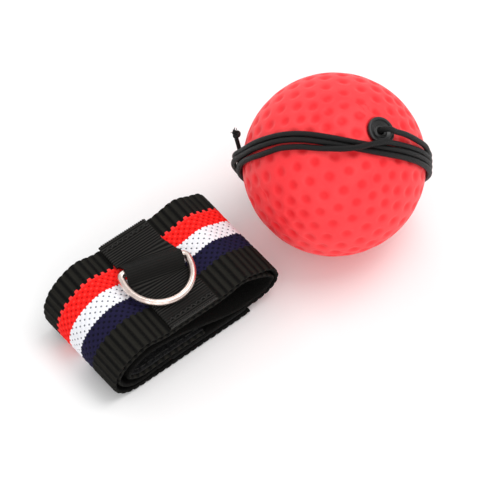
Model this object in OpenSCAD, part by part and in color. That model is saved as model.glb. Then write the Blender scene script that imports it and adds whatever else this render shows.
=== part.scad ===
// Reflex ball headband: a rolled-up elastic headband with a D-ring on a webbing
// tunnel, and a dimpled foam ball with its elastic cord wound round it.
// Millimetres. +X runs along the roll towards the ball, +Y along the roll's axis,
// +Z up. The origin is on the resting face, under the middle of the roll.

/* [Elastic strap] */
// Width of the knitted strap, edge to edge
strap_width = 40; // [30:1:50]
// Thickness of the knitted strap
strap_thickness = 1.6; // [1.2:0.1:2]
// Length of the flattened roll, end to end
roll_length = 73.5; // [60:0.5:90]
// Height of the roll at its near edge
near_height = 22.4; // [18:0.2:28]
// Height of the roll at its far edge
far_height = 27.8; // [22:0.2:34]
// Height under the webbing as a share of the full height
dip = 0.935; // [0.9:0.005:1]

/* [Closure tab] */
// Place of the line where the end of the strap starts to peel
tab_root = -20; // [-22:0.5:-16]
// Place of the tip of the closure tab
tab_tip = 23.5; // [16:0.5:26]
// How far the tip curls up
tab_curl = 0.4; // [0:0.1:1]
// Thickness of the hook patch
hook_thickness = 1.4; // [1:0.1:1.8]
// Length of the hook patch
hook_length = 34; // [25:1:36]
// Thickness of the loop patch
loop_thickness = 1; // [0.8:0.1:1.4]

/* [Ring webbing] */
// Width of the webbing that holds the D-ring
web_width = 20.5; // [15:0.5:25]
// Thickness of the webbing
web_thickness = 1.2; // [0.8:0.1:1.6]
// Place of the webbing along the roll
web_x = -1.4; // [-4:0.1:4]
// Half length of the fold over the bar
fold_reach = 5.2; // [4.5:0.1:7]

/* [D-ring] */
// Diameter of the ring's wire
wire_diameter = 2.6; // [2:0.1:3]
// Inside width of the ring, along its bar
ring_inner_width = 22.4; // [18:0.1:30]
// Straight length of each leg, from the bar to the bow
ring_leg = 3.3; // [3:0.1:10]
// Corner radius between bar and leg, to the middle of the wire
ring_corner = 1.8; // [1.8:0.1:3]
// Turn of the bar in plan, from square to the strap
ring_skew = -15; // [-20:1:20]
// Place of the bar across the strap, from its middle
bar_y = 2.9; // [0:0.1:8]

/* [Ball] */
// Diameter of the foam ball
ball_diameter = 65; // [50:0.5:80]
// Gap between the roll and the ball, seen from the front
ball_gap = 3.3; // [2:0.1:20]
// Place of the ball across the strap, from its middle
ball_y = -7.7; // [-15:0.1:15]
// Diameter of the cord plug's flange
plug_diameter = 10.2; // [8:0.1:14]
// Length of the cord plug's stem
plug_length = 12; // [8:0.5:18]

/* [Cord] */
// Diameter of the elastic cord
cord_diameter = 2; // [1.5:0.1:3]
// Width of the wound cord on the ball
winding_width = 8.4; // [4:0.2:14]
// Diameter of the knot at the free end
knot_diameter = 3.2; // [2.4:0.1:5]

/* [Hidden] */
knit_color = [0.06, 0.06, 0.065];
patch_color = [0.05, 0.05, 0.055];
thread_color = [0.1, 0.1, 0.11];
steel_color = [0.75, 0.73, 0.71];
foam_color = [0.93, 0.24, 0.2];
plug_color = [0.04, 0.04, 0.045];
cord_color = [0.07, 0.07, 0.075];

layer_gap = 0.35;
run_gap = 0.3;
hair_gap = 0.1;
sew = 0.05;
strap_steps = 3;
tube_steps = 2;
tube_sides = 8;
round_sides = 48;
thread_sides = 16;

half = roll_length / 2;
mid = strap_thickness / 2;
pitch = strap_thickness + layer_gap;
edge = strap_width / 2;

// heights of the second and third layers along the bottom of the roll
low2 = strap_thickness + hook_thickness + layer_gap + mid;
low3 = low2 + pitch;

// distance of the first two layers from the middle of the roll, at its ends
side1 = half - mid;
side2 = side1 - pitch;
dip_margin = 2;
dip_reach = web_width / 2 + dip_margin;

// a share of the roll's height, near and far, with a fixed amount added
function h(f, d = 0) = [f * near_height + d, f * far_height + d];
function flat(z) = [z, z];
function at(x, z) = [x, z[0], z[1]];

// middle line of the strap from the peeling line inwards: place along the roll,
// height at the near edge, height at the far edge
strap_line = [
    at(tab_root - run_gap, flat(mid)),
    at(-0.68 * half, flat(mid + 0.1)),
    at(-0.82 * half, flat(mid + 0.8)),
    at(-0.93 * half, flat(mid + 3.5)),
    at(-side1, h(0.36)),
    at(-side1 + 0.3, h(0.56)),
    at(-0.9 * half, h(0.74)),
    at(-0.78 * half, h(0.88)),
    at(-0.6 * half, h(1, -mid)),
    at(web_x - dip_reach, h(dip, -mid)),
    at(web_x, h(dip, -mid)),
    at(web_x + dip_reach, h(dip, -mid)),
    at(0.57 * half, h(1, -mid)),
    at(0.77 * half, h(0.86)),
    at(0.9 * half, h(0.76)),
    at(side1, h(0.52)),
    at(0.94 * half, h(0.33)),
    at(0.8 * half, flat(low2 + 0.6 + tab_curl)),
    at(0.6 * half, flat(low2 + tab_curl)),
    at(0.38 * half, flat(low2 + 0.1 * tab_curl)),
    at(0, flat(low2)),
    at(-0.35 * half, flat(low2)),
    at(-0.55 * half, flat(low2 - 0.5)),
    at(-0.72 * half, flat(low2 - 0.6)),
    at(-0.85 * half, flat(low2 + 1.4)),
    at(-side2, h(0.42)),
    at(-side2 + 0.3, h(0.56)),
    at(-0.845 * half, h(0.7)),
    at(-0.73 * half, h(0.8)),
    at(-0.575 * half, h(1, -mid - pitch)),
    at(web_x - dip_reach, h(dip, -mid - pitch)),
    at(web_x, h(dip, -mid - pitch)),
    at(web_x + dip_reach, h(dip, -mid - pitch)),
    at(0.555 * half, h(1, -mid - pitch)),
    at(0.735 * half, h(0.77)),
    at(0.85 * half, h(0.66)),
    at(side2, h(0.51)),
    at(0.86 * half, h(0.37)),
    at(0.76 * half, flat(low3 + 0.5 + tab_curl)),
    at(0.62 * half, flat(low3 + tab_curl)),
    at(0.49 * half, h(0.29)),
    at(0.28 * half, h(0.37)),
    at(0.05 * half, h(0.5)),
    at(-0.18 * half, h(0.62)),
    at(-0.38 * half, h(0.68)),
    at(-0.53 * half, h(0.705)),
    at(-0.67 * half, h(0.66)),
    at(-0.78 * half, h(0.54)),
    at(-0.82 * half, h(0.42)),
    at(-0.77 * half, flat(low3 + 1.3)),
    at(-0.65 * half, flat(low3 - 0.3)),
    at(-0.4 * half, flat(low3)),
    at(-0.1 * half, flat(low3)),
    at(0.08 * half, flat(low3))
];

// the loop patch runs from this step of the middle line to the inner end
loop_start = 42;

// middle line of the closure tab, from the peeling line to the tip
tab_line = [
    at(tab_root, flat(mid)),
    at(tab_root + 0.3 * (tab_tip - tab_root), flat(mid)),
    at(tab_root + 0.6 * (tab_tip - tab_root), flat(mid)),
    at(tab_root + 0.85 * (tab_tip - tab_root), flat(mid + 0.1 * tab_curl)),
    at(tab_tip, flat(mid + tab_curl))
];
patch_inset = 1;
hook_end = tab_tip - patch_inset;
hook_start = hook_end - hook_length;

ball_radius = ball_diameter / 2;
cord_radius = cord_diameter / 2;
winding_outer = ball_radius + hair_gap + cord_diameter;
winding_inner = ball_radius + hair_gap;
winding_tilt = 63.4;
winding_turn = 50;
// lowest point of the winding under the ball's middle
winding_drop = cos(winding_tilt) * winding_width / 2
    + sin(winding_tilt) * sqrt(pow(winding_outer, 2) - pow(winding_width / 2, 2));
ball_centre = [
    half + ball_gap + ball_radius,
    ball_y,
    max(ball_radius, winding_drop) + hair_gap
];
plug_tilt = 31.8;
plug_turn = -69.4;
plug_axis = [
    sin(plug_tilt) * cos(plug_turn),
    sin(plug_tilt) * sin(plug_turn),
    cos(plug_tilt)
];
winding_axis = [
    sin(winding_tilt) * cos(winding_turn),
    sin(winding_tilt) * sin(winding_turn),
    cos(winding_tilt)
];
stem_radius = 2.4;
barb_radius = 2.8;
cord_hole = cord_radius + 0.2;
barb_step = 2;
flange_depth = 0.6;
flange_top = 0.8;
rim_round = 0.4;
rim_width = 1;
anchor_radius = 2.3;
tail_share = 0.8;

// points of the cord for a ball of this radius, from the middle of the ball
shape_radius = 32.5;
shape_scale = ball_radius / shape_radius;
lead_line = [
    plug_axis * (ball_radius - plug_length - 1),
    plug_axis * (ball_radius - 5),
    plug_axis * (ball_radius + 1),
    shape_scale * [7.5, -18.8, 30],
    shape_scale * [9.5, -20, 28.2],
    shape_scale * [13, -21, 25.1],
    shape_scale * [17.3, -22.2, 20.1],
    shape_scale * [21.5, -22.5, 14.1],
    shape_scale * [24, -22, 8.5]
];
tail_line = [
    shape_scale * [-24.6, 22.5, -4.1],
    shape_scale * [-25, 22.2, -1.7],
    shape_scale * [-24.4, 22.7, 0.6],
    shape_scale * [-23.3, 23.9, 2.2],
    shape_scale * [-22.9, 25.1, 4.4],
    shape_scale * [-22.8, 26.5, 7.5]
];
knot_centre = shape_scale * [-22.4, 27, 9];

web_slope = atan(dip * (far_height - near_height) / strap_width);
web_base = dip * (far_height + near_height) / 2;
ring_width = ring_inner_width + wire_diameter;
wire_radius = wire_diameter / 2;
bore_radius = wire_radius + run_gap;
bar_lift = web_thickness + hair_gap + bore_radius;
fold_top = bar_lift + bore_radius + web_thickness;
fold_length = web_width * 0.98;
fold_steps = 16;

// rows of zigzag stitches across the ends of the webbing
tack_count = 9;
tack_length = 1.7;
tack_radius = 0.3;
tack_turn = 20;
tack_step = 0.9;
tack_inset = 1.5;
tack_edge = 2.6;

// rows of straight stitches along the edges of the two patches
patch_stitches = 7;
stitch_radius = 0.25;
stitch_inset = 2.5;
hook_stitch = 2.6;
hook_row = hook_length - 10;
loop_stitch = 1.4;
loop_row = 0.4 * half;
loop_row_start = -0.36 * half;

strand_count = 6;
strand_tilt = 26;
strand_radius = 0.2;
strand_length = 1.3;
strand_root = 0.3;

// point on the curve through four neighbours, a share s of the way along
function curve(a, b, c, d, s) =
    0.5 * (2 * b + (c - a) * s + (2 * a - 5 * b + 4 * c - d) * s * s
        + (3 * b - a - 3 * c + d) * s * s * s);
function clamped(c, i) = c[max(0, min(len(c) - 1, i))];
function smooth(c, n) = [
    for (i = [0 : len(c) - 2])
        for (k = [0 : n - 1])
            curve(clamped(c, i - 1), c[i], c[i + 1], clamped(c, i + 2), k / n),
    c[len(c) - 1]
];
function unit(v) = v / norm(v);

// point of a profile moved sideways by d, where j picks the near or far height
function side_point(c, i, j, d) =
    let (a = clamped(c, i - 1), b = clamped(c, i + 1), t = unit([b[0] - a[0], b[j] - a[j]]))
    [c[i][0] - d * t[1], c[i][j] + d * t[0]];
function ribbon_ring(c, i, low, high, y) = [
    let (p = side_point(c, i, 1, low)) [p[0], -y, p[1]],
    let (p = side_point(c, i, 1, high)) [p[0], -y, p[1]],
    let (p = side_point(c, i, 2, high)) [p[0], y, p[1]],
    let (p = side_point(c, i, 2, low)) [p[0], y, p[1]]
];
function skin(rings, sides) = [
    for (i = [0 : rings - 2])
        for (k = [0 : sides - 1])
            let (m = (k + 1) % sides, a = i * sides, b = a + sides)
            each [[a + k, b + k, b + m], [a + k, b + m, a + m]]
];
function caps(rings, sides) = [
    [for (k = [0 : sides - 1]) k],
    [for (k = [sides - 1 : -1 : 0]) (rings - 1) * sides + k]
];

// a band between two offsets from a middle line, from one edge of the strap to the other
module ribbon(c, low, high, y) {
    n = len(c);
    polyhedron(
        points = [for (i = [0 : n - 1]) each ribbon_ring(c, i, low, high, y)],
        faces = concat(skin(n, 4), caps(n, 4))
    );
}

function tube_ring(c, i, radius, guide) =
    let (t = unit(clamped(c, i + 1) - clamped(c, i - 1)))
    let (u = unit(guide - (guide * t) * t), w = cross(t, u))
    [for (k = [0 : tube_sides - 1])
        c[i] + radius * (cos(360 * k / tube_sides) * u + sin(360 * k / tube_sides) * w)];

module tube(c, radius, guide) {
    n = len(c);
    polyhedron(
        points = [for (i = [0 : n - 1]) each tube_ring(c, i, radius, guide)],
        faces = concat(skin(n, tube_sides), caps(n, tube_sides))
    );
}

// a stitch of thread lying along X, with its middle at the origin
module stitch(length, radius) {
    rotate([0, 90, 0])
        cylinder(r = radius, h = length, center = true, $fn = thread_sides);
}

// puts its children on the strap's top face under the webbing, Y along the webbing
module on_web() {
    translate([web_x, 0, web_base])
        rotate([web_slope, 0, 0])
            children();
}

module on_bar() {
    on_web()
        translate([0, bar_y, bar_lift])
            rotate([0, 0, ring_skew])
                children();
}

module on_ball(tilt, turn) {
    translate(ball_centre)
        rotate([0, tilt, turn])
            children();
}

module elastic_strap() {
    color(knit_color)
        ribbon(smooth(strap_line, strap_steps), -mid, mid, edge);
}

module strap_tab() {
    color(knit_color)
        ribbon(smooth(tab_line, strap_steps), -mid, mid, edge);
}

module hook_patch() {
    whole = smooth(tab_line, strap_steps);
    color(patch_color)
        ribbon([for (p = whole) if (p[0] > hook_start && p[0] <= hook_end) p],
            mid - sew, mid + hook_thickness, edge - patch_inset);
}

module loop_patch() {
    tail = [for (i = [loop_start : len(strap_line) - 1]) strap_line[i]];
    color(patch_color)
        ribbon(smooth(tail, strap_steps), mid - sew, mid + loop_thickness, edge - patch_inset);
}

// two rows of stitches along X, near and far, lying at this height
module patch_rows(start, reach, z, length) {
    color(thread_color)
        for (side = [-1, 1])
            for (k = [0 : patch_stitches - 1])
                translate([
                    start + k * reach / (patch_stitches - 1),
                    side * (edge - stitch_inset),
                    z - sew
                ])
                    stitch(length, stitch_radius);
}

module hook_stitching() {
    patch_rows((hook_start + hook_end - hook_row) / 2, hook_row,
        strap_thickness + hook_thickness, hook_stitch);
}

module loop_stitching() {
    patch_rows(loop_row_start, loop_row, low3 + mid + loop_thickness, loop_stitch);
}

// height of the webbing's fold over the bar, at a distance y from the bar
function fold_height(y) =
    web_thickness + (fold_top - web_thickness) * (0.5 + 0.5 * cos(180 * y / fold_reach));

// the fold seen along the bar, with the bore that the bar turns in
module fold_outline() {
    difference() {
        polygon(concat(
            [[fold_reach, web_thickness / 2]],
            [for (k = [fold_steps : -2 : -fold_steps])
                let (y = k * fold_reach / fold_steps)
                [y, fold_height(y)]],
            [[-fold_reach, web_thickness / 2]]
        ));
        translate([0, bar_lift])
            circle(r = bore_radius, $fn = round_sides);
    }
}

module ring_webbing() {
    color(patch_color)
        on_web() {
            translate([-web_width / 2, -edge / cos(web_slope), -sew])
                cube([web_width, 2 * edge / cos(web_slope), web_thickness + sew]);
            translate([0, bar_y, 0])
                rotate([0, 0, ring_skew])
                    rotate([90, 0, 90])
                        linear_extrude(height = fold_length, center = true)
                            fold_outline();
        }
}

module tack_row(y) {
    color(thread_color)
        on_web()
            for (k = [0 : tack_count - 1])
                translate([
                    (k - (tack_count - 1) / 2) * (web_width - 2 * tack_inset) / tack_count,
                    y + (k % 2 - 0.5) * tack_step,
                    web_thickness
                ])
                    rotate([0, 0, tack_turn * (k % 2 * 2 - 1)])
                        stitch(tack_length, tack_radius);
}

module far_stitching() {
    tack_row(edge - tack_edge);
}

module near_stitching() {
    tack_row(tack_edge - edge);
}

module d_ring() {
    reach = ring_width / 2;
    color(steel_color)
        on_bar() {
            rotate([0, 90, 0])
                cylinder(r = wire_radius, h = ring_width - 2 * ring_corner,
                    center = true, $fn = round_sides);
            for (s = [0, 1])
                mirror([s, 0, 0]) {
                    translate([reach - ring_corner, -ring_corner, 0])
                        rotate_extrude(angle = 90, $fn = round_sides)
                            translate([ring_corner, 0])
                                circle(r = wire_radius, $fn = round_sides);
                    translate([reach, -ring_corner, 0])
                        rotate([90, 0, 0])
                            cylinder(r = wire_radius, h = ring_leg - ring_corner, $fn = round_sides);
                }
            translate([0, -ring_leg, 0])
                rotate([0, 0, 180])
                    rotate_extrude(angle = 180, $fn = round_sides)
                        translate([reach, 0])
                            circle(r = wire_radius, $fn = round_sides);
        }
}

module ball_foam() {
    color(foam_color)
        on_ball(plug_tilt, plug_turn)
            difference() {
                sphere(r = ball_radius, $fn = round_sides);
                translate([0, 0, ball_radius - flange_depth])
                    cylinder(r = plug_diameter / 2, h = 2 * flange_depth, $fn = round_sides);
                translate([0, 0, ball_radius - plug_length])
                    cylinder(r = stem_radius, h = plug_length, $fn = round_sides);
                translate([0, 0, ball_radius - plug_length - anchor_radius])
                    cylinder(r = anchor_radius + hair_gap, h = anchor_radius + hair_gap,
                        $fn = round_sides);
            }
}

module cord_plug() {
    rim = plug_diameter / 2;
    color(plug_color)
        on_ball(plug_tilt, plug_turn)
            translate([0, 0, ball_radius])
                rotate_extrude($fn = round_sides)
                    polygon([
                        [cord_hole, -plug_length],
                        [stem_radius - rim_round, -plug_length],
                        [barb_radius, barb_step - plug_length],
                        [stem_radius, barb_step - plug_length],
                        [stem_radius, 2 * barb_step - plug_length],
                        [barb_radius, 3 * barb_step - plug_length],
                        [stem_radius, 3 * barb_step - plug_length],
                        [stem_radius, -flange_depth],
                        [rim, -flange_depth],
                        [rim, flange_top - rim_round],
                        [rim - rim_round, flange_top],
                        [rim - rim_width, flange_top],
                        [cord_hole + 2 * rim_round, -hair_gap],
                        [cord_hole, -2 * hair_gap]
                    ]);
}

module anchor_knot() {
    color(cord_color)
        on_ball(plug_tilt, plug_turn)
            translate([0, 0, ball_radius - plug_length - anchor_radius])
                cylinder(r = anchor_radius, h = anchor_radius, $fn = round_sides);
}

module cord_lead() {
    color(cord_color)
        translate(ball_centre)
            tube(smooth(lead_line, tube_steps), cord_radius, winding_axis);
}

// the wound turns as one closed band: a slice of a hollow sphere
module cord_winding() {
    steps = 4;
    reach = winding_width / 2;
    color(cord_color)
        on_ball(winding_tilt, winding_turn)
            rotate_extrude($fn = round_sides * 2)
                polygon(concat(
                    [for (k = [-steps : 1 : steps])
                        let (z = k * reach / steps)
                        [sqrt(pow(winding_outer, 2) - z * z), z]],
                    [for (k = [steps : -1 : -steps])
                        let (z = k * reach / steps)
                        [sqrt(pow(winding_inner, 2) - z * z), z]]
                ));
}

module cord_tail() {
    color(cord_color)
        translate(ball_centre)
            tube(smooth(tail_line, tube_steps), cord_radius * tail_share, winding_axis);
}

module end_knot() {
    color(cord_color)
        translate(ball_centre + knot_centre)
            sphere(r = knot_diameter / 2, $fn = round_sides);
}

// loose ends of the cord's core and sleeve, above the knot
module frayed_tip() {
    color(cord_color)
        translate(ball_centre + knot_centre)
            for (k = [0 : strand_count - 1])
                rotate([0, strand_tilt, k * 360 / strand_count])
                    translate([0, 0, knot_diameter / 2 - strand_root])
                        cylinder(r = strand_radius, h = strand_length, $fn = thread_sides);
}

elastic_strap();
strap_tab();
hook_patch();
loop_patch();
hook_stitching();
loop_stitching();
ring_webbing();
far_stitching();
near_stitching();
d_ring();
ball_foam();
cord_plug();
anchor_knot();
cord_lead();
cord_winding();
cord_tail();
end_knot();
frayed_tip();
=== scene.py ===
"""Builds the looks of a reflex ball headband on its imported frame.

The headband is an elastic knitted strap, rolled up flat, with a D-ring in a fold of webbing on top. A
dimpled foam ball lies beside it, with its elastic cord wound round it. Shapes are worked out in
millimetres on grids of points, and become meshes in metres.
"""

import logging
import math
from dataclasses import dataclass, field
from enum import Enum

import bpy
import numpy as np
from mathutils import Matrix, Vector


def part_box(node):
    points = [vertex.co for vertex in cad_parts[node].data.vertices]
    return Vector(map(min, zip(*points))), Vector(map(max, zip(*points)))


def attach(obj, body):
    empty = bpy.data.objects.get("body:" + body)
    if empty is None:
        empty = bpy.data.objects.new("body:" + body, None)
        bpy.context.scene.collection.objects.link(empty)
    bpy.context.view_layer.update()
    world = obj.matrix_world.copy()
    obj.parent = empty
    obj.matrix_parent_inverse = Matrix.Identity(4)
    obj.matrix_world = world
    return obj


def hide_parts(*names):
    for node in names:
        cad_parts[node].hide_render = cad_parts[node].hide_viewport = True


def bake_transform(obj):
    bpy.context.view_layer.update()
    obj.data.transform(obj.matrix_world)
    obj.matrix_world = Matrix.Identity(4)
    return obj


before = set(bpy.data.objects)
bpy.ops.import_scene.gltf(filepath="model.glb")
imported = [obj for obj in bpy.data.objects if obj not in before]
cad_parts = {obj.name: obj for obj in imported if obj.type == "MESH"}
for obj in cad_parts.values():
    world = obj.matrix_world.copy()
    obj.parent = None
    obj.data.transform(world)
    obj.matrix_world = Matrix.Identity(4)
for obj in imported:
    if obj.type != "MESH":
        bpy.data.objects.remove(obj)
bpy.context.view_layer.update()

MM = 0.001
TAU = 2 * math.pi
LOG = logging.getLogger("headband")


class Slot(Enum):
    """The finishes that the record names."""

    KNIT = "knit"
    PATCH = "hook_and_loop"
    WEBBING = "webbing"
    THREAD = "thread"
    STEEL = "ring_steel"
    FOAM = "foam"
    PLUG = "plug_plastic"
    CORD = "cord"


class Body(Enum):
    """The bodies that move against each other."""

    HEADBAND = "headband"
    TAB = "closure_tab"
    RING = "ring"
    BALL = "ball"


# ---------------------------------------------------------------- numbers

def node_box(node: str) -> tuple[np.ndarray, np.ndarray]:
    """Gives a node's lowest and highest corners in millimetres.

    Args:
        node: Name of the node in the frame.

    Returns:
        The two corners.
    """
    low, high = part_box(node)
    return np.array(low) / MM, np.array(high) / MM


def node_points(node: str) -> np.ndarray:
    """Gives the points of a node's mesh in millimetres, one row each.

    Args:
        node: Name of the node in the frame.

    Returns:
        The points.
    """
    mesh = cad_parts[node].data
    flat = np.empty(3 * len(mesh.vertices), np.float32)
    mesh.vertices.foreach_get("co", flat)
    return flat.reshape(-1, 3).astype(float) / MM


def unit(vectors: np.ndarray) -> np.ndarray:
    """Scales vectors along the last axis to length one."""
    return vectors / np.linalg.norm(vectors, axis=-1, keepdims=True)


def smoothstep(low: float, high: float, values: np.ndarray) -> np.ndarray:
    """Rises smoothly from 0 at low to 1 at high, as 3t^2 - 2t^3."""
    t = np.clip((values - low) / (high - low), 0, 1)
    return t * t * (3 - 2 * t)


def catmull_rom(points: np.ndarray, steps: int) -> np.ndarray:
    """Runs a smooth curve through points.

    Each stretch between neighbours b and c is the cubic that also looks at the points a and d beyond
    them: half of 2b + (c - a)s + (2a - 5b + 4c - d)s^2 + (3b - a - 3c + d)s^3.

    Args:
        points: The points, one row each.
        steps: How many steps each stretch gets.

    Returns:
        The points of the curve, the last given point included.
    """
    a = np.vstack([points[:1], points[:-2], points[-3:-2]])[: len(points) - 1]
    a[1:] = points[:-2]
    b, c = points[:-1], points[1:]
    d = np.vstack([points[2:], points[-1:]])
    s = (np.arange(steps) / steps)[None, :, None]
    a, b, c, d = (p[:, None, :] for p in (a, b, c, d))
    curve = 0.5 * (2 * b + (c - a) * s + (2 * a - 5 * b + 4 * c - d) * s**2 + (3 * b - a - 3 * c + d) * s**3)
    return np.vstack([curve.reshape(-1, points.shape[1]), points[-1:]])


def along(points: np.ndarray) -> np.ndarray:
    """Gives the distance run at each point of a line, from its start."""
    return np.r_[0, np.cumsum(np.linalg.norm(np.diff(points, axis=0), axis=1))]


def resample(points: np.ndarray, step: float) -> np.ndarray:
    """Puts points along a line at even distances of about one step.

    Args:
        points: Points of the line, one row each.
        step: Distance wanted between two points.

    Returns:
        The even points, with both ends.
    """
    run = along(points)
    even = np.linspace(0, run[-1], max(2, round(run[-1] / step) + 1))
    return np.stack([np.interp(even, run, column) for column in points.T], axis=1)


def eased(x: np.ndarray, knots: tuple[tuple[float, float], ...]) -> np.ndarray:
    """Reads a smooth line through knots that never overshoots them.

    The slope at a knot is the harmonic mean of the slopes beside it, or zero at a turn, and each stretch is
    the cubic with those slopes.

    Args:
        x: Where to read the line.
        knots: Its places and heights, in order. It stays level past both ends.

    Returns:
        The heights at x.
    """
    at, height = np.array(knots, float).T
    gap, slope = np.diff(at), np.diff(height) / np.diff(at)
    left, right = slope[:-1], slope[1:]
    same = left * right > 0
    mean = np.where(same, 2 * left * right / np.where(same, left + right, 1), 0)
    turn = np.r_[0, mean, 0]
    x = np.clip(x, at[0], at[-1])
    i = np.clip(np.searchsorted(at, x, side="right") - 1, 0, len(gap) - 1)
    t = (x - at[i]) / gap[i]
    start = height[i] * (1 + 2 * t) * (1 - t) ** 2 + height[i + 1] * t * t * (3 - 2 * t)
    return start + gap[i] * t * (1 - t) * (turn[i] * (1 - t) - turn[i + 1] * t)


def turned(tilt: float, turn: float) -> np.ndarray:
    """Gives the matrix that leans the z axis by tilt and then turns it about z, both in degrees.

    Args:
        tilt: Lean of the z axis towards x.
        turn: Turn of the leaned axis about z.

    Returns:
        The matrix, whose columns are the new axes.
    """
    a, b = math.radians(tilt), math.radians(turn)
    lean = np.array([[math.cos(a), 0, math.sin(a)], [0, 1, 0], [-math.sin(a), 0, math.cos(a)]])
    spin = np.array([[math.cos(b), -math.sin(b), 0], [math.sin(b), math.cos(b), 0], [0, 0, 1]])
    return spin @ lean


# ---------------------------------------------------------------- meshes

@dataclass
class Grid:
    """A surface as rows and columns of points, and how its edges join."""

    points: np.ndarray
    uv: np.ndarray | None = None
    ring_columns: bool = True
    ring_rows: bool = False
    caps: bool = True
    shade: np.ndarray | None = None

    def faces(self) -> tuple[np.ndarray, np.ndarray]:
        """Gives the corners of each square, and their places on the grid before it wraps round.

        Returns:
            Corners of each square, and the row and column of each corner.
        """
        rows, columns = self.points.shape[:2]
        i = np.arange(rows if self.ring_rows else rows - 1)
        j = np.arange(columns if self.ring_columns else columns - 1)
        i, j = (a.ravel() for a in np.meshgrid(i, j, indexing="ij"))
        spots = np.stack([i, j, i, j + 1, i + 1, j + 1, i + 1, j], axis=1).reshape(-1, 4, 2)
        corners = (spots[..., 0] % rows) * columns + spots[..., 1] % columns
        return corners, spots

    def soup(self) -> "Soup":
        """Turns the grid into loose lists of points and faces, with a fan of triangles on each open end.

        Returns:
            The loose surface, with its map and its shade where it has them.
        """
        rows, columns = self.points.shape[:2]
        corners, spots = self.faces()
        points = self.points.reshape(-1, 3)
        uv = None
        if self.uv is not None:
            uv = self.uv[spots[..., 0], spots[..., 1]]
        triangles = np.zeros((0, 3), int)
        if self.caps and not self.ring_rows:
            ring = np.arange(columns)
            after = (ring + 1) % columns
            first, last = len(points), len(points) + 1
            base = (rows - 1) * columns
            points = np.vstack([points, self.points[0].mean(0), self.points[-1].mean(0)])
            start = np.stack([np.full(columns, first), after, ring], axis=1)
            end = np.stack([np.full(columns, last), base + ring, base + after], axis=1)
            triangles = np.vstack([start, end])
        shade = None
        if self.shade is not None:
            shade = np.r_[self.shade.ravel(), np.zeros(len(points) - rows * columns)]
        return Soup(points, corners, triangles, uv, shade)


@dataclass
class Soup:
    """Points in millimetres, with squares and triangles between them."""

    points: np.ndarray
    quads: np.ndarray
    triangles: np.ndarray = field(default_factory=lambda: np.zeros((0, 3), int))
    uv: np.ndarray | None = None
    shade: np.ndarray | None = None

    def volume(self) -> float:
        """Adds up the signed volumes under the faces, which is positive where they point outwards.

        Returns:
            The volume in cubic millimetres.
        """
        p = self.points - self.points.mean(0)
        halves = [self.quads[:, [0, 1, 2]], self.quads[:, [0, 2, 3]], self.triangles]
        t = np.vstack(halves)
        return float(np.einsum("ij,ij->", p[t[:, 0]], np.cross(p[t[:, 1]], p[t[:, 2]])) / 6)

    def outward(self) -> "Soup":
        """Turns every face over if the closed surface is inside out.

        Returns:
            The surface with its faces outwards.
        """
        if self.volume() >= 0:
            return self
        uv = None if self.uv is None else self.uv[:, ::-1]
        return Soup(self.points, self.quads[:, ::-1], self.triangles[:, ::-1], uv, self.shade)

    def build(self, name: str, slots: np.ndarray | None = None) -> bpy.types.Object:
        """Makes the mesh object.

        Args:
            name: Name of the piece.
            slots: Number of the material slot of each square.

        Returns:
            The object, in metres, with smooth shading, and a map named grain and values named shade where it
            has them.
        """
        mesh = bpy.data.meshes.new(name)
        mesh.vertices.add(len(self.points))
        mesh.vertices.foreach_set("co", (self.points * MM).astype(np.float32).ravel())
        corners = np.r_[self.quads.ravel(), self.triangles.ravel()].astype(np.int32)
        sizes = np.r_[np.full(len(self.quads), 4), np.full(len(self.triangles), 3)].astype(np.int32)
        starts = np.r_[0, np.cumsum(sizes)[:-1]].astype(np.int32)
        mesh.loops.add(len(corners))
        mesh.loops.foreach_set("vertex_index", corners)
        mesh.polygons.add(len(sizes))
        mesh.polygons.foreach_set("loop_start", starts)
        mesh.polygons.foreach_set("loop_total", sizes)
        if slots is not None:
            numbers = np.r_[slots, np.zeros(len(self.triangles), int)].astype(np.int32)
            mesh.polygons.foreach_set("material_index", numbers)
        mesh.update(calc_edges=True)
        mesh.validate()
        if self.uv is not None:
            layer = mesh.uv_layers.new(name="grain")
            flat = np.zeros((len(corners), 2), np.float32)
            flat[: self.quads.size] = self.uv.reshape(-1, 2)
            layer.data.foreach_set("uv", flat.ravel())
        if self.shade is not None:
            shade = mesh.attributes.new("shade", "FLOAT", "POINT")
            shade.data.foreach_set("value", self.shade.astype(np.float32))
        mesh.shade_smooth()
        piece = bpy.data.objects.new(name, mesh)
        bpy.context.scene.collection.objects.link(piece)
        return piece


def tube(
    path: np.ndarray, radius: np.ndarray | float, guide: np.ndarray, sides: int, closed: bool = False
) -> Grid:
    """Carries a circle along a path.

    Each ring is the point plus radius times (cos a) u + (sin a) w, where u is the guide less its part along
    the path, and w is the path's direction crossed with u.

    Args:
        path: Points of the middle line.
        radius: One radius, or one for each point.
        guide: A direction, or one for each point, never along the path.
        sides: Corners of each ring.
        closed: Whether the path's end joins its start.

    Returns:
        The grid, with the distance run and the share of a turn as its map.
    """
    if closed:
        ahead = unit(np.roll(path, -1, axis=0) - np.roll(path, 1, axis=0))
    else:
        ahead = unit(np.gradient(path, axis=0))
    guide = np.broadcast_to(guide, path.shape)
    u = unit(guide - ahead * np.sum(guide * ahead, axis=1, keepdims=True))
    w = np.cross(ahead, u)
    a = (TAU * np.arange(sides) / sides)[None, :, None]
    r = np.broadcast_to(np.asarray(radius, float), (len(path),))[:, None, None]
    points = path[:, None] + r * (np.cos(a) * u[:, None] + np.sin(a) * w[:, None])
    run = along(path)
    if closed:
        run = np.r_[run, run[-1] + np.linalg.norm(path[0] - path[-1])]
    uv = np.stack(np.meshgrid(run, np.arange(sides + 1) / sides, indexing="ij"), axis=-1)
    return Grid(points, uv, ring_rows=closed)


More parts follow.
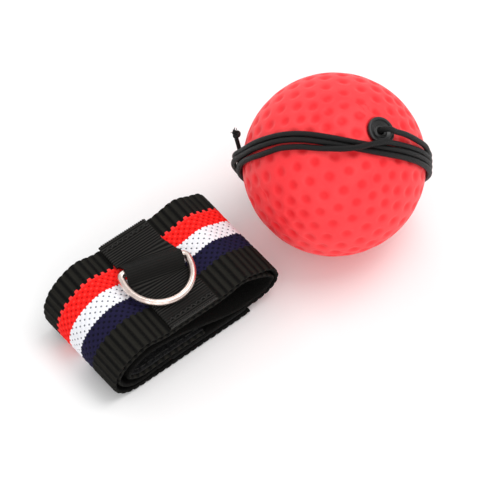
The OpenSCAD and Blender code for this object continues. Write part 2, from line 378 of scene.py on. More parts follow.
def many_tubes(paths: np.ndarray, radius: np.ndarray, sides: int) -> Soup:
    """Makes many short tubes with closed ends at once.

    Args:
        paths: Tubes by points by three coordinates.
        radius: Radius at each point of a path, near zero at both ends.
        sides: Corners of each ring.

    Returns:
        One surface that holds them all.
    """
    count, steps = paths.shape[:2]
    ahead = unit(np.gradient(paths, axis=1))
    span = unit(paths[:, -1] - paths[:, 0])
    spare = np.where(np.abs(span[:, 2:]) < 0.8, [[0.0, 0.0, 1.0]], [[1.0, 0.0, 0.0]])
    side = unit(np.cross(span, spare))[:, None]
    u = unit(side - ahead * np.sum(side * ahead, axis=2, keepdims=True))
    w = np.cross(ahead, u)
    a = (TAU * np.arange(sides) / sides)[None, None, :, None]
    r = np.asarray(radius, float)[None, :, None, None]
    points = paths[:, :, None] + r * (np.cos(a) * u[:, :, None] + np.sin(a) * w[:, :, None])
    corners, _ = Grid(points[0], caps=False).faces()
    start = np.arange(count)[:, None, None] * steps * sides
    quads = (corners[None] + start).reshape(-1, 4)
    ring = np.arange(sides)
    fan = np.stack([np.zeros(sides - 2, int), ring[2:], ring[1:-1]], axis=1)
    last = (steps - 1) * sides + fan[:, ::-1]
    ends = np.vstack([fan, last])
    triangles = (ends[None] + start).reshape(-1, 3)
    return Soup(points.reshape(-1, 3), quads, triangles).outward()


def lathe(profile: np.ndarray, sides: int) -> Grid:
    """Turns a profile of radius and height about the z axis, as (r cos a, r sin a, z).

    Args:
        profile: Radius and height of each corner of a closed outline, one row each.
        sides: Steps round the axis.

    Returns:
        The grid, which joins up both ways.
    """
    a = TAU * np.arange(sides) / sides
    r, z = profile[:, :1], np.broadcast_to(profile[:, 1:], (len(profile), sides))
    points = np.stack([r * np.cos(a), r * np.sin(a), z], axis=-1)
    return Grid(points, ring_rows=True, caps=False)


def rounded(corners: list[tuple[float, float]], radius: float, steps: int = 5) -> np.ndarray:
    """Rounds the corners of a closed outline.

    Each corner becomes the quadratic curve from a point before it to a point after it, where both are the
    radius away, or less than half of a short side.

    Args:
        corners: The corners in order.
        radius: How far from a corner its curve starts.
        steps: Steps of each curve.

    Returns:
        The outline's points.
    """
    c = np.array(corners, float)
    before, after = np.roll(c, 1, axis=0) - c, np.roll(c, -1, axis=0) - c
    back, on = (np.linalg.norm(v, axis=1, keepdims=True) for v in (before, after))
    a = c + before / back * np.minimum(radius, 0.45 * back)
    b = c + after / on * np.minimum(radius, 0.45 * on)
    t = np.linspace(0, 1, steps)[None, :, None]
    return ((1 - t) ** 2 * a[:, None] + 2 * t * (1 - t) * c[:, None] + t**2 * b[:, None]).reshape(-1, 2)


def dressed(piece: bpy.types.Object, *finishes: bpy.types.Material) -> bpy.types.Object:
    """Gives a piece its finishes, in the order of its material slots."""
    for finish in finishes:
        piece.data.materials.append(finish)
    return piece


def place(piece: bpy.types.Object, body: Body | None, slot: Slot, *nodes: str) -> bpy.types.Object:
    """Puts a piece on its body and hides the nodes that it stands for.

    Args:
        piece: The piece.
        body: The body that it rides on, or None to leave it on no body.
        slot: The finish that the record gives it; not used.
        *nodes: The nodes that it stands for.

    Returns:
        The piece.
    """
    if body:
        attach(piece, body.value)
    if nodes:
        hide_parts(*nodes)
    triangles = sum(len(p.vertices) - 2 for p in piece.data.polygons)
    LOG.info("%s rides on %s, %d triangles", piece.name, body.value if body else "two bodies", triangles)
    return piece


# ---------------------------------------------------------------- materials

def colour(red: int, green: int, blue: int) -> tuple[float, float, float, float]:
    """Turns a screen colour from 0 to 255 into a linear one.

    Args:
        red: Share of red.
        green: Share of green.
        blue: Share of blue.

    Returns:
        The linear colour, with an alpha of one.
    """
    parts = (c / 255 for c in (red, green, blue))
    linear = (c / 12.92 if c <= 0.04045 else ((c + 0.055) / 1.055) ** 2.4 for c in parts)
    return (*linear, 1.0)


class Signal:
    """A socket of numbers in a shader, which arithmetic works on."""

    def __init__(self, work: "NodeWork", socket: bpy.types.NodeSocket) -> None:
        """Keeps the socket and the node tree that it is in."""
        self.work = work
        self.socket = socket

    def __add__(self, other: "Signal | float") -> "Signal":
        """Adds."""
        return self.work.maths("ADD", self, other)

    def __sub__(self, other: "Signal | float") -> "Signal":
        """Subtracts."""
        return self.work.maths("SUBTRACT", self, other)

    def __rsub__(self, other: float) -> "Signal":
        """Subtracts from a number."""
        return self.work.maths("SUBTRACT", other, self)

    def __mul__(self, other: "Signal | float") -> "Signal":
        """Multiplies."""
        return self.work.maths("MULTIPLY", self, other)

    def __truediv__(self, other: "Signal | float") -> "Signal":
        """Divides."""
        return self.work.maths("DIVIDE", self, other)

    __radd__ = __add__
    __rmul__ = __mul__

    def wave(self) -> "Signal":
        """The cosine of this many whole turns."""
        return self.work.maths("COSINE", self * TAU)

    def size(self) -> "Signal":
        """The value without its sign."""
        return self.work.maths("ABSOLUTE", self)

    def part(self) -> "Signal":
        """What is left over whole numbers."""
        return self.work.maths("FRACT", self)

    def whole(self) -> "Signal":
        """The whole number below."""
        return self.work.maths("FLOOR", self)

    def rise(self, low: float, high: float) -> "Signal":
        """Goes smoothly from 0 at low to 1 at high.

        Args:
            low: Where it leaves 0.
            high: Where it reaches 1.

        Returns:
            The smooth step.
        """
        settings = {"interpolation_type": "SMOOTHSTEP"}
        node = self.work.node("ShaderNodeMapRange", settings, {0: self, 1: low, 2: high, 3: 0.0, 4: 1.0})
        return Signal(self.work, node.outputs[0])


class NodeWork:
    """A material whose nodes are made one call at a time."""

    def __init__(self, name: str, **constants: float | tuple) -> None:
        """Starts a material with one Principled shader.

        Args:
            name: Name of the material.
            constants: Values of the shader's sockets, with _ for a space.
        """
        self.material = bpy.data.materials.new(name)
        self.material.use_nodes = True
        self.tree = self.material.node_tree
        self.tree.nodes.clear()
        self.shader = self.node("ShaderNodeBsdfPrincipled", {}, {})
        for socket, value in constants.items():
            self.shader.inputs[socket.replace("_", " ")].default_value = value
        output = self.node("ShaderNodeOutputMaterial", {}, {})
        self.tree.links.new(self.shader.outputs[0], output.inputs[0])

    def node(self, kind: str, settings: dict, inputs: dict) -> bpy.types.Node:
        """Makes a node.

        Args:
            kind: Type of the node.
            settings: Its own settings, which are set first.
            inputs: Values or links of its sockets, by number or name.

        Returns:
            The node.
        """
        node = self.tree.nodes.new(kind)
        for key, value in settings.items():
            setattr(node, key, value)
        for key, value in inputs.items():
            if isinstance(value, Signal):
                value = value.socket
            if isinstance(value, bpy.types.NodeSocket):
                self.tree.links.new(value, node.inputs[key])
            else:
                node.inputs[key].default_value = value
        return node

    def maths(self, operation: str, *values: Signal | float) -> Signal:
        """Adds a Math node."""
        node = self.node("ShaderNodeMath", {"operation": operation}, dict(enumerate(values)))
        return Signal(self, node.outputs[0])

    def larger(self, a: Signal, b: Signal | float) -> Signal:
        """Gives the larger of two."""
        return self.maths("MAXIMUM", a, b)

    def grain(self) -> tuple[Signal, Signal]:
        """Gives the two numbers of the piece's own map."""
        uv = self.node("ShaderNodeUVMap", {"uv_map": "grain"}, {})
        parts = self.node("ShaderNodeSeparateXYZ", {}, {0: uv.outputs[0]})
        return Signal(self, parts.outputs[0]), Signal(self, parts.outputs[1])

    def shade(self) -> Signal:
        """Gives the values that the piece's points carry."""
        return Signal(self, self.node("ShaderNodeAttribute", {"attribute_name": "shade"}, {}).outputs["Fac"])

    def spot(self) -> bpy.types.NodeSocket:
        """Gives the place on the object, in metres."""
        return self.node("ShaderNodeTexCoord", {}, {}).outputs["Object"]

    def point(self, x: Signal | float, y: Signal | float, z: Signal | float = 0.0) -> bpy.types.NodeSocket:
        """Joins three numbers into a vector."""
        return self.node("ShaderNodeCombineXYZ", {}, {0: x, 1: y, 2: z}).outputs[0]

    def noise(self, where: bpy.types.NodeSocket, scale: float, detail: float = 2.0) -> Signal:
        """Reads smooth noise about 0.5 at a place, at this many lumps to the unit."""
        node = self.node("ShaderNodeTexNoise", {}, {"Vector": where, "Scale": scale, "Detail": detail})
        return Signal(self, node.outputs[0])

    def cells(self, where: bpy.types.NodeSocket, scale: float) -> Signal:
        """Gives the distance to the nearest of a scatter of points."""
        node = self.node("ShaderNodeTexVoronoi", {}, {"Vector": where, "Scale": scale})
        return Signal(self, node.outputs["Distance"])

    def mix(
        self, share: Signal, a: tuple | bpy.types.NodeSocket, b: tuple | bpy.types.NodeSocket
    ) -> bpy.types.NodeSocket:
        """Mixes two colours, from a at share 0 to b at share 1."""
        node = self.node("ShaderNodeMix", {"data_type": "RGBA"}, {0: share, 6: a, 7: b})
        return node.outputs[2]

    def finish(
        self,
        base: bpy.types.NodeSocket,
        rough: Signal | None = None,
        height: Signal | None = None,
        depth: float = 0.0,
    ) -> bpy.types.Material:
        """Links what varies over the surface to the shader.

        Args:
            base: The colour.
            rough: The roughness.
            height: Relief from 0 to 1.
            depth: How deep the relief is, in millimetres.

        Returns:
            The finished material.
        """
        self.tree.links.new(base, self.shader.inputs["Base Color"])
        if rough is not None:
            self.tree.links.new(rough.socket, self.shader.inputs["Roughness"])
        if height is not None:
            inputs = {"Strength": 1.0, "Distance": depth * MM, "Height": height}
            bump = self.node("ShaderNodeBump", {}, inputs)
            self.tree.links.new(bump.outputs[0], self.shader.inputs["Normal"])
        return self.material


@dataclass(frozen=True)
class Stripes:
    """Where the coloured stripes of the knit lie across the strap, and the lattice of its stitches."""

    pitch: float = 2.85
    row: float = 1.22
    row_start: float = 1.09
    far: float = 11.0
    red_end: float = 4.9
    white_end: float = -1.5
    navy_end: float = -7.8
    tooth: float = 0.95

    def lattice(self, phase: np.ndarray, y: np.ndarray) -> np.ndarray:
        """Gives 1 at a stitch and -1 between stitches: the product of a wave along and a wave across."""
        return np.cos(TAU * phase) * np.cos(math.pi * (y - self.row_start) / self.row)


@dataclass(frozen=True)
class StripedKnit:
    """The outer face of the strap: black ribs and a red, a white and a navy stripe of pitted knit, with
    painted shade in the rib grooves and red pits and painted highlights on the red puffs and teeth.
    """

    stripes: Stripes = Stripes()

    def make(self) -> bpy.types.Material:
        """Makes the material on a map of rib number and millimetres across.

        Returns:
            The finished material.
        """
        s = self.stripes
        work = NodeWork("striped_knit", Roughness=0.85, Specular_IOR_Level=0.12)
        phase, y = work.grain()
        along_rib = phase.wave()
        across = ((y - s.row_start) / (2 * s.row)).wave()
        lattice = along_rib * across
        double = (phase * 2).wave()
        yarn = work.noise(work.point(phase * 9, y * 1.6), 1.0, 3.0)
        fine = work.noise(work.point(phase * 26, y * 9), 1.0, 2.0)
        patchy = work.noise(work.point(phase * 0.6, y * 0.3), 1.0, 2.0)
        ragged = (yarn - 0.5) * 0.5

        # Painted highlight and shade: the black ribs are painted lighter on their crests and near black in
        # the grooves between them.
        crest = 1 - ((phase + 0.5).part() * 2 - 1).size()
        groove = 1 - crest.rise(0.08, 0.85)
        black = work.mix(groove, colour(34, 33, 29), colour(4, 4, 4))
        black = work.mix((yarn - 0.5).rise(0.0, 0.25) * 0.4, black, colour(40, 38, 34))

        # Painted shade in the pits of the red knit; the next line but one paints highlights on the puffs
        # between them.
        pit_shade = lattice.rise(0.35, 0.95)
        red = work.mix(pit_shade, colour(255, 32, 28), colour(206, 6, 10))
        red = work.mix((0 - lattice).rise(0.3, 1.0) * 0.55, red, colour(255, 72, 66))
        red = work.mix(fine.rise(0.55, 0.8) * 0.35, red, colour(222, 14, 14))
        # Painted highlight: the tips of the red teeth along the black edge are painted pale pink.
        knuckle_highlight = (y + ragged).rise(s.far - 0.55, s.far - 0.05) * along_rib.rise(-0.2, 0.7)
        red = work.mix(knuckle_highlight * 0.5, red, colour(255, 80, 78))

        dash = (lattice + (fine - 0.5) * 0.25).rise(0.6, 0.92)
        white = work.mix(dash * 0.95, colour(244, 244, 248), colour(70, 74, 92))
        shade = (0 - lattice).rise(0.1, 1.0) * 0.3 + patchy.rise(0.5, 0.8) * 0.1
        white = work.mix(shade, white, colour(226, 228, 240))

        navy = work.mix(lattice.rise(0.1, 0.9) * 0.85, colour(29, 26, 56), colour(8, 8, 16))
        thread = yarn.rise(0.55, 0.72) * fine.rise(0.35, 0.7)
        navy = work.mix(thread * 0.6, navy, colour(54, 50, 96))

        tooth = along_rib.rise(-0.5, 0.5) * s.tooth
        in_red = 1 - (y - tooth + ragged * 0.3).rise(s.far - 0.06, s.far + 0.06)
        in_white = 1 - (y + double * 0.14 + ragged * 0.2).rise(s.red_end - 0.05, s.red_end + 0.05)
        in_navy = 1 - (y - double * 0.16 + ragged * 0.3).rise(s.white_end - 0.05, s.white_end + 0.05)
        near_tooth = (phase + 0.5).wave().rise(-0.2, 0.9) * 0.6
        in_black = 1 - (y + near_tooth + ragged).rise(s.navy_end - 0.25, s.navy_end + 0.25)
        base = work.mix(in_red, black, red)
        base = work.mix(in_white, base, white)
        base = work.mix(in_navy, base, navy)
        base = work.mix(in_black, base, black)
        height = fine * 0.5 + yarn * 0.8
        rough = 0.75 + fine * 0.2
        return work.finish(base, rough, height, 0.16)


@dataclass(frozen=True)
class PlainKnit:
    """The inner face of the strap: flat black ribs with rows of floating yarns."""

    row: float = 0.61

    def make(self) -> bpy.types.Material:
        """Makes the material on the same map as the outer face.

        Returns:
            The finished material.
        """
        work = NodeWork("plain_knit", Roughness=0.9, Specular_IOR_Level=0.08)
        phase, y = work.grain()
        yarn = work.noise(work.point(phase * 9, y * 2.2), 1.0, 3.0)
        rows = (y / self.row).wave()
        base = work.mix(yarn.rise(0.35, 0.75), colour(7, 7, 7), colour(30, 29, 27))
        base = work.mix(rows.rise(0.2, 1.0) * 0.35, base, colour(12, 12, 12))
        return work.finish(base, 0.8 + yarn * 0.15, yarn + rows * 0.2, 0.15)


@dataclass(frozen=True)
class RibbedWebbing:
    """Black ribbed webbing, with the twist of the yarn along each rib, painted highlights on the rib crests
    and painted shade in the grooves.
    """

    rib: float = 0.95

    def make(self) -> bpy.types.Material:
        """Makes the material on a map of millimetres across and millimetres along.

        Returns:
            The finished material.
        """
        work = NodeWork("ribbed_webbing", Roughness=0.7, Specular_IOR_Level=0.18)
        x, t = work.grain()
        # Painted highlight and shade: the rib crests are painted lighter and the grooves near black; where
        # the shade values fall, on the fold and at the near seam, this fades to an even dark.
        crest = (t / self.rib).wave() * (work.shade() * 0.85 + 0.15)
        twist = ((x * 2.1) + (t / self.rib).whole() * 0.5).wave()
        fine = work.noise(work.point(x * 3.2, t * 9), 1.0, 3.0)
        base = work.mix(crest.rise(-0.5, 1.0), colour(4, 4, 4), colour(48, 47, 44))
        # The lighter twist and fibres are yarn texture, shown only on the crests as part of the painted
        # highlight.
        base = work.mix(twist.rise(0.2, 1.0) * crest.rise(0.1, 0.9) * 0.4, base, colour(52, 51, 48))
        base = work.mix(fine.rise(0.6, 0.85) * crest.rise(0.0, 0.8) * 0.3, base, colour(70, 68, 64))
        return work.finish(base, 0.6 + fine * 0.3, twist * 0.3 + fine, 0.12)


@dataclass(frozen=True)
class HookAndLoop:
    """Black nylon of the two closure patches."""

    name: str
    crest: tuple[float, float, float, float]

    def make(self) -> bpy.types.Material:
        """Makes the material on the object's own coordinates.

        Returns:
            The finished material.
        """
        work = NodeWork(self.name, Roughness=0.6, Specular_IOR_Level=0.15)
        spot = work.spot()
        weave = work.noise(spot, 1900.0, 2.0)
        soft = work.noise(spot, 260.0, 3.0)
        base = work.mix(weave.rise(0.35, 0.7), colour(6, 6, 7), self.crest)
        base = work.mix(soft.rise(0.5, 0.8) * 0.3, base, colour(32, 32, 33))
        return work.finish(base, 0.5 + weave * 0.3, weave, 0.1)


@dataclass(frozen=True)
class TwistedThread:
    """Black sewing thread with its plies."""

    def make(self) -> bpy.types.Material:
        """Makes the material on the object's own coordinates.

        Returns:
            The finished material.
        """
        work = NodeWork("black_thread", Roughness=0.55, Specular_IOR_Level=0.25)
        ply = work.noise(work.spot(), 3200.0, 1.0)
        base = work.mix(ply.rise(0.4, 0.65), colour(18, 18, 18), colour(62, 61, 59))
        return work.finish(base, 0.45 + ply * 0.3, ply, 0.06)


@dataclass(frozen=True)
class PolishedNickel:
    """The ring's plating: bright and slightly warm, with hairlines and dull spots."""

    def make(self) -> bpy.types.Material:
        """Makes the material on a map of millimetres along the wire and the share of a turn round it.

        Returns:
            The finished material.
        """
        work = NodeWork("polished_nickel", Metallic=1.0, Roughness=0.24)
        run, turn = work.grain()
        hair = work.noise(work.point(run * 0.35, turn * 60), 1.0, 3.0)
        cloud = work.noise(work.spot(), 420.0, 3.0)
        base = work.mix(cloud.rise(0.3, 0.75), colour(240, 224, 216), colour(214, 190, 180))
        base = work.mix(hair.rise(0.62, 0.8) * 0.35, base, colour(176, 150, 140))
        return work.finish(base, 0.17 + cloud * 0.16 + hair * 0.08, hair, 0.012)


@dataclass(frozen=True)
class MouldedFoam:
    """Red polyurethane foam: a satin skin with fine pores, faint scuffs and a parting line, and painted
    shade in the dimples and creases.
    """

    centre: tuple[float, float, float]
    axis: tuple[float, float, float]

    def make(self) -> bpy.types.Material:
        """Makes the material on the object's own coordinates.

        Returns:
            The finished material.
        """
        work = NodeWork("moulded_foam", Specular_IOR_Level=0.24, Sheen_Weight=0.16, Sheen_Roughness=0.25)
        work.shader.inputs["Sheen Tint"].default_value = colour(255, 176, 180)
        spot = work.spot()
        pore = work.cells(spot, 1500.0)
        mottle = work.noise(spot, 95.0, 4.0)
        scuff = work.noise(spot, 24.0, 5.0)
        hollow_shade = work.shade()
        base = work.mix(mottle.rise(0.35, 0.7), colour(253, 56, 62), colour(255, 66, 70))
        # Painted shade: the dimples' floors and the creases are painted a deeper, darker red.
        base = work.mix(hollow_shade.rise(0.1, 0.9) * 0.75, base, colour(240, 26, 36))
        base = work.mix(scuff.rise(0.56, 0.75) * 0.35, base, colour(240, 34, 42))
        base = work.mix((1 - pore.rise(0.0, 0.35)) * 0.25, base, colour(226, 26, 36))
        away = self.from_seam(work, spot)
        seam = 1 - away.rise(0.00008, 0.0003)
        base = work.mix(seam * 0.35, base, colour(255, 96, 98))
        height = pore.rise(0.0, 0.4) * 0.5 + mottle * 0.6 + seam * 0.5
        return work.finish(base, 0.4 + mottle * 0.16, height, 0.05)

    def from_seam(self, work: NodeWork, spot: bpy.types.NodeSocket) -> Signal:
        """Gives the distance in metres from the plane of the parting line.

        Args:
            work: The material that the nodes go into.
            spot: The place on the object, in metres.

        Returns:
            The distance.
        """
        kind = "ShaderNodeVectorMath"
        middle = work.node(kind, {"operation": "SUBTRACT"}, {0: spot, 1: self.centre})
        dot = work.node(kind, {"operation": "DOT_PRODUCT"}, {0: middle.outputs[0], 1: self.axis})
        return Signal(work, dot.outputs["Value"]).size()


@dataclass(frozen=True)
class MouldedPlastic:
    """Black moulded plastic with a fine spark texture."""

    def make(self) -> bpy.types.Material:
        """Makes the material on the object's own coordinates.

        Returns:
            The finished material.
        """
        work = NodeWork("moulded_plastic", Specular_IOR_Level=0.5, Coat_Weight=0.15, Coat_Roughness=0.25)
        spot = work.spot()
        spark = work.noise(spot, 2600.0, 2.0)
        smear = work.noise(spot, 300.0, 3.0)
        base = work.mix(smear.rise(0.4, 0.8), colour(8, 8, 8), colour(20, 20, 21))
        return work.finish(base, 0.28 + smear * 0.25, spark, 0.02)


@dataclass(frozen=True)
class BraidedSleeve:
    """The cord's braided sleeve: strands that run both ways round it, over and under each other, with
    painted highlights on the strands and painted shade in the gaps.
    """

    strands: int = 8
    lay: float = 3.4

    def make(self) -> bpy.types.Material:
        """Makes the material on a map of millimetres along the cord and the share of a turn round it.

        Returns:
            The finished material.
        """
        work = NodeWork("braided_sleeve", Roughness=0.5, Specular_IOR_Level=0.25)
        run, turn = work.grain()
        one = (run * (self.strands / self.lay) + turn * self.strands).wave()
        other = (run * (self.strands / self.lay) - turn * self.strands).wave()
        over = (run * (self.strands / self.lay)).wave() * (turn * self.strands).wave()
        pick = work.larger(one * (0.6 + over * 0.4), other * (0.6 - over * 0.4))
        # Painted highlights: grey glints in small specks over the braid.
        glint_specks = work.noise(work.point(run * 4, turn * 9), 1.0, 2.0)
        # Painted highlight and shade: the strands are painted lighter and the gaps between them near black.
        base = work.mix(pick.rise(-0.3, 0.8), colour(4, 4, 4), colour(27, 26, 26))
        base = work.mix(glint_specks.rise(0.6, 0.8) * 0.2, base, colour(54, 52, 50))
        return work.finish(base, 0.42 + glint_specks * 0.2, pick, 0.09)


# ---------------------------------------------------------------- strap

@dataclass
class Strip:
    """A band whose section follows a line of places along the roll and heights at its near and far edges."""

    line: np.ndarray
    edge: float
    start: float = 0.0

    def __post_init__(self) -> None:
        """Works out the distance run along the band, as the mean of its two edges."""
        near = along(self.line[:, [0, 1]])
        far = along(self.line[:, [0, 2]])
        self.run = (near + far) / 2 + self.start

    def base(self, run: np.ndarray, y: np.ndarray) -> tuple[np.ndarray, np.ndarray, np.ndarray]:
        """Reads the middle surface.

        A point is (x, y, z), where z goes straight from the near height to the far one. The normal is the
        direction along the band crossed with the direction across it.

        Args:
            run: Distances along the band, evenly spaced.
            y: Places across the band, one for each column.

        Returns:
            Points, directions along and normals, as rows by columns by three.
        """
        x, near, far = (np.interp(run, self.run, c)[:, None] for c in self.line.T)
        share = (y[None, :] + self.edge) / (2 * self.edge)
        points = np.stack(np.broadcast_arrays(x, y[None, :], near + (far - near) * share), axis=-1)
        ahead = unit(np.gradient(points, axis=0))
        slope = (far - near) / (2 * self.edge)
        across = np.stack(np.broadcast_arrays(0.0, 1.0, slope), axis=-1)
        return points, ahead, unit(np.cross(ahead, across))


@dataclass
class Section:
    """The columns of a closed band: places across, and which face each belongs to."""

    y: np.ndarray
    lift: np.ndarray
    bulge: np.ndarray

    @classmethod
    def of(cls, top: np.ndarray, bottom: np.ndarray, turns: tuple[float, ...]) -> "Section":
        """Joins a top face to a bottom face round both edges.

        Args:
            top: Places of the top face's columns, from near to far.
            bottom: Places of the bottom face's columns, from far to near.
            turns: Angles of the columns round an edge, from the top, in degrees.

        Returns:
            The section. Lift is 1 on top, -1 below and the cosine of the angle round an edge, and bulge is
            the sine of that angle with the sign of the side.
        """
        a = np.radians(turns)
        y = np.r_[top, np.full(len(a), top[-1]), bottom, np.full(len(a), top[0])]
        lift = np.r_[np.ones(len(top)), np.cos(a), -np.ones(len(bottom)), -np.cos(a)]
        bulge = np.r_[np.zeros(len(top)), np.sin(a), np.zeros(len(bottom)), -np.sin(a)]
        return cls(y, lift, bulge)


@dataclass
class RolledStrap:
    """The elastic strap: two turns of a flat roll, an inner end that folds back, and the tab outside.

    The near and far heights, the length and the width are the node's own. The line repeats the design's:
    from the tab's tip to the peeling line, then inwards. The ribs and the knit are heights over it.
    """

    thickness: float = 1.6
    hook: float = 1.4
    hook_length: float = 34.0
    layer_gap: float = 0.35
    run_gap: float = 0.3
    dip: float = 0.935
    dip_margin: float = 2.0
    tab_root: float = -20.0
    tab_tip: float = 23.5
    tab_curl: float = 0.4
    patch_inset: float = 1.0
    outer_share: float = 0.46
    bend_length: float = 8.0
    edge_round: float = 0.7
    edge_bulge: float = 0.45
    rib_bulge: float = 0.28
    rib_floor: float = 0.2
    rib_height: float = 0.56
    knit_height: float = 0.6
    lip_height: float = 0.16
    stripes: Stripes = Stripes()
    seed: int = 11

    def __post_init__(self) -> None:
        """Reads the sizes from the frame and lays the line."""
        low, high = node_box("elastic_strap")
        self.half = high[0]
        self.edge = high[1]
        points = node_points("elastic_strap")
        self.far = high[2]
        self.near = points[points[:, 1] < low[1] + 0.01, 2].max()
        web = node_points("ring_webbing")
        end = web[web[:, 1] > web[:, 1].max() - 0.3]
        self.web_width = np.ptp(end[:, 0])
        self.web_x = (end[:, 0].min() + end[:, 0].max()) / 2
        self.mid = self.thickness / 2
        self.rng = np.random.default_rng(self.seed)
        tab = catmull_rom(self.tab_line()[::-1], 10)
        strap = catmull_rom(self.strap_line(), 14)
        line = np.vstack([tab, strap])
        whole = Strip(line, self.edge)
        self.strip = Strip(line, self.edge, -whole.run[len(tab)])
        self.firmness = 1 + 0.1 * self.rng.standard_normal(400)

    def strap_line(self) -> np.ndarray:
        """Gives the middle line from the peeling line inwards: place, near height, far height.

        Returns:
            The places, one row each.
        """
        half, mid = self.half, self.mid
        pitch = self.thickness + self.layer_gap
        low2 = self.thickness + self.hook + self.layer_gap + mid
        low3 = low2 + pitch
        side1 = half - mid
        side2 = side1 - pitch
        web_x = self.web_x
        reach = self.web_width / 2 + self.dip_margin
        curl = self.tab_curl

        def h(share: float, more: float = 0.0) -> tuple[float, float]:
            """A share of the roll's height, near and far, with a fixed amount added."""
            return share * self.near + more, share * self.far + more

        def flat(z: float) -> tuple[float, float]:
            """The same height at both edges."""
            return z, z

        steps = [
            (self.tab_root - self.run_gap, flat(mid)),
            (-0.68 * half, flat(mid + 0.1)),
            (-0.82 * half, flat(mid + 0.8)),
            (-0.93 * half, flat(mid + 3.5)),
            (-side1, h(0.36)),
            (-side1 + 0.3, h(0.56)),
            (-0.9 * half, h(0.74)),
            (-0.78 * half, h(0.88)),
            (-0.6 * half, h(1, -mid)),
            (web_x - reach, h(self.dip, -mid)),
            (web_x, h(self.dip, -mid)),
            (web_x + reach, h(self.dip, -mid)),
            (0.57 * half, h(1, -mid)),
            (0.77 * half, h(0.86)),
            (0.9 * half, h(0.76)),
            (side1, h(0.52)),
            (0.94 * half, h(0.33)),
            (0.8 * half, flat(low2 + 0.6 + curl)),
            (0.6 * half, flat(low2 + curl)),
            (0.38 * half, flat(low2 + 0.1 * curl)),
            (0, flat(low2)),
            (-0.35 * half, flat(low2)),
            (-0.55 * half, flat(low2 - 0.5)),
            (-0.72 * half, flat(low2 - 0.6)),
            (-0.85 * half, flat(low2 + 1.4)),
            (-side2, h(0.42)),
            (-side2 + 0.3, h(0.56)),
            (-0.845 * half, h(0.7)),
            (-0.73 * half, h(0.8)),
            (-0.575 * half, h(1, -mid - pitch)),
            (web_x - reach, h(self.dip, -mid - pitch)),
            (web_x, h(self.dip, -mid - pitch)),
            (web_x + reach, h(self.dip, -mid - pitch)),
            (0.555 * half, h(1, -mid - pitch)),
            (0.735 * half, h(0.77)),
            (0.85 * half, h(0.66)),
            (side2, h(0.51)),
            (0.86 * half, h(0.37)),
            (0.76 * half, flat(low3 + 0.5 + curl)),
            (0.62 * half, flat(low3 + curl)),
            (0.49 * half, h(0.29)),
            (0.28 * half, h(0.37)),
            (0.05 * half, h(0.5)),
            (-0.18 * half, h(0.62)),
            (-0.38 * half, h(0.68)),
            (-0.53 * half, h(0.705)),
            (-0.67 * half, h(0.66)),
            (-0.78 * half, h(0.54)),
            (-0.82 * half, h(0.42)),
            (-0.77 * half, flat(low3 + 1.3)),
            (-0.65 * half, flat(low3 - 0.3)),
            (-0.4 * half, flat(low3)),
            (-0.1 * half, flat(low3)),
            (0.08 * half, flat(low3)),
        ]
        return np.array([(x, near, far) for x, (near, far) in steps])

    def tab_line(self) -> np.ndarray:
        """Gives the tab's middle line from the peeling line to its tip.

        Returns:
            The places, one row each.
        """
        reach = self.tab_tip - self.tab_root
        steps = ((0, 0), (0.3, 0), (0.6, 0), (0.85, 0.1), (1, 1))
        heights = [(self.tab_root + s * reach, self.mid + c * self.tab_curl) for s, c in steps]
        return np.array([(x, z, z) for x, z in heights])

    def ribs(self, phase: np.ndarray) -> np.ndarray:
        """Gives the height of the ribs, round from 1 at a crest to 0.1 in the groove between.

        Args:
            phase: Distance along the strap, in ribs.

        Returns:
            The height, with the firmness of each rib in it.
        """
        t = 2 * np.mod(phase, 1) - 1
        firm = self.firmness[np.floor(phase).astype(int) % len(self.firmness)]
        return np.sqrt(1 - 0.99 * np.abs(t) ** 1.9) * firm

    def outer(self, run: np.ndarray, y: np.ndarray) -> np.ndarray:
        """Gives the height of the outer face over the middle line.

        It is the ribs on the black edges, and the puffed lattice of stitches on the stripes, with one red
        tooth in each groove where they meet.

        Args:
            run: Distances along the strap, one for each row.
            y: Places across it, one for each column.

        Returns:
            The heights in millimetres, rows by columns.
        """
        s = self.stripes
        phase, y = np.broadcast_arrays(run[:, None] / s.pitch, y[None, :])
        wander = 0.05 * np.sin(1.3 * y + 2.1 * np.floor(phase)) * np.sin(0.37 * y + 1.7 * phase)
        black = self.rib_floor + self.rib_height * self.ribs(phase + wander)
        lattice = s.lattice(phase, y)
        knit = self.knit_height - 0.15 * lattice - 0.14 * smoothstep(0.45, 0.95, lattice)
        tooth = smoothstep(0.0, 0.9, np.cos(TAU * phase))
        inside = smoothstep(s.navy_end - 0.5, s.navy_end + 0.4, y)
        inside = inside * (1 - smoothstep(s.far - 0.1, s.far + 0.5, y - s.tooth * tooth))
        lip = self.lip_height * tooth * np.exp(-(((y - s.far - 0.2) / 0.55) ** 2))
        return black + (knit - black) * inside + lip

    def inner(self, run: np.ndarray, y: np.ndarray) -> np.ndarray:
        """Gives the height of the inner face: low ribs crossed by rows of floating yarn."""
        phase, y = np.broadcast_arrays(run[:, None] / self.stripes.pitch, y[None, :])
        return 0.55 + 0.16 * self.ribs(phase) + 0.04 * np.cos(TAU * y / self.stripes.row)

    def section(self) -> Section:
        """Lays the columns: close together on the stripes, and further apart on the plain edges.

        Returns:
            The section.
        """
        face = self.edge - self.edge_round
        s = self.stripes
        near = np.linspace(-face, s.navy_end - 0.8, 14, endpoint=False)
        middle = np.linspace(s.navy_end - 0.8, s.far + 1.2, 68, endpoint=False)
        far = np.linspace(s.far + 1.2, face, 11)
        return Section.of(np.r_[near, middle, far], np.linspace(face, -face, 26), (30, 60, 90, 120, 150))

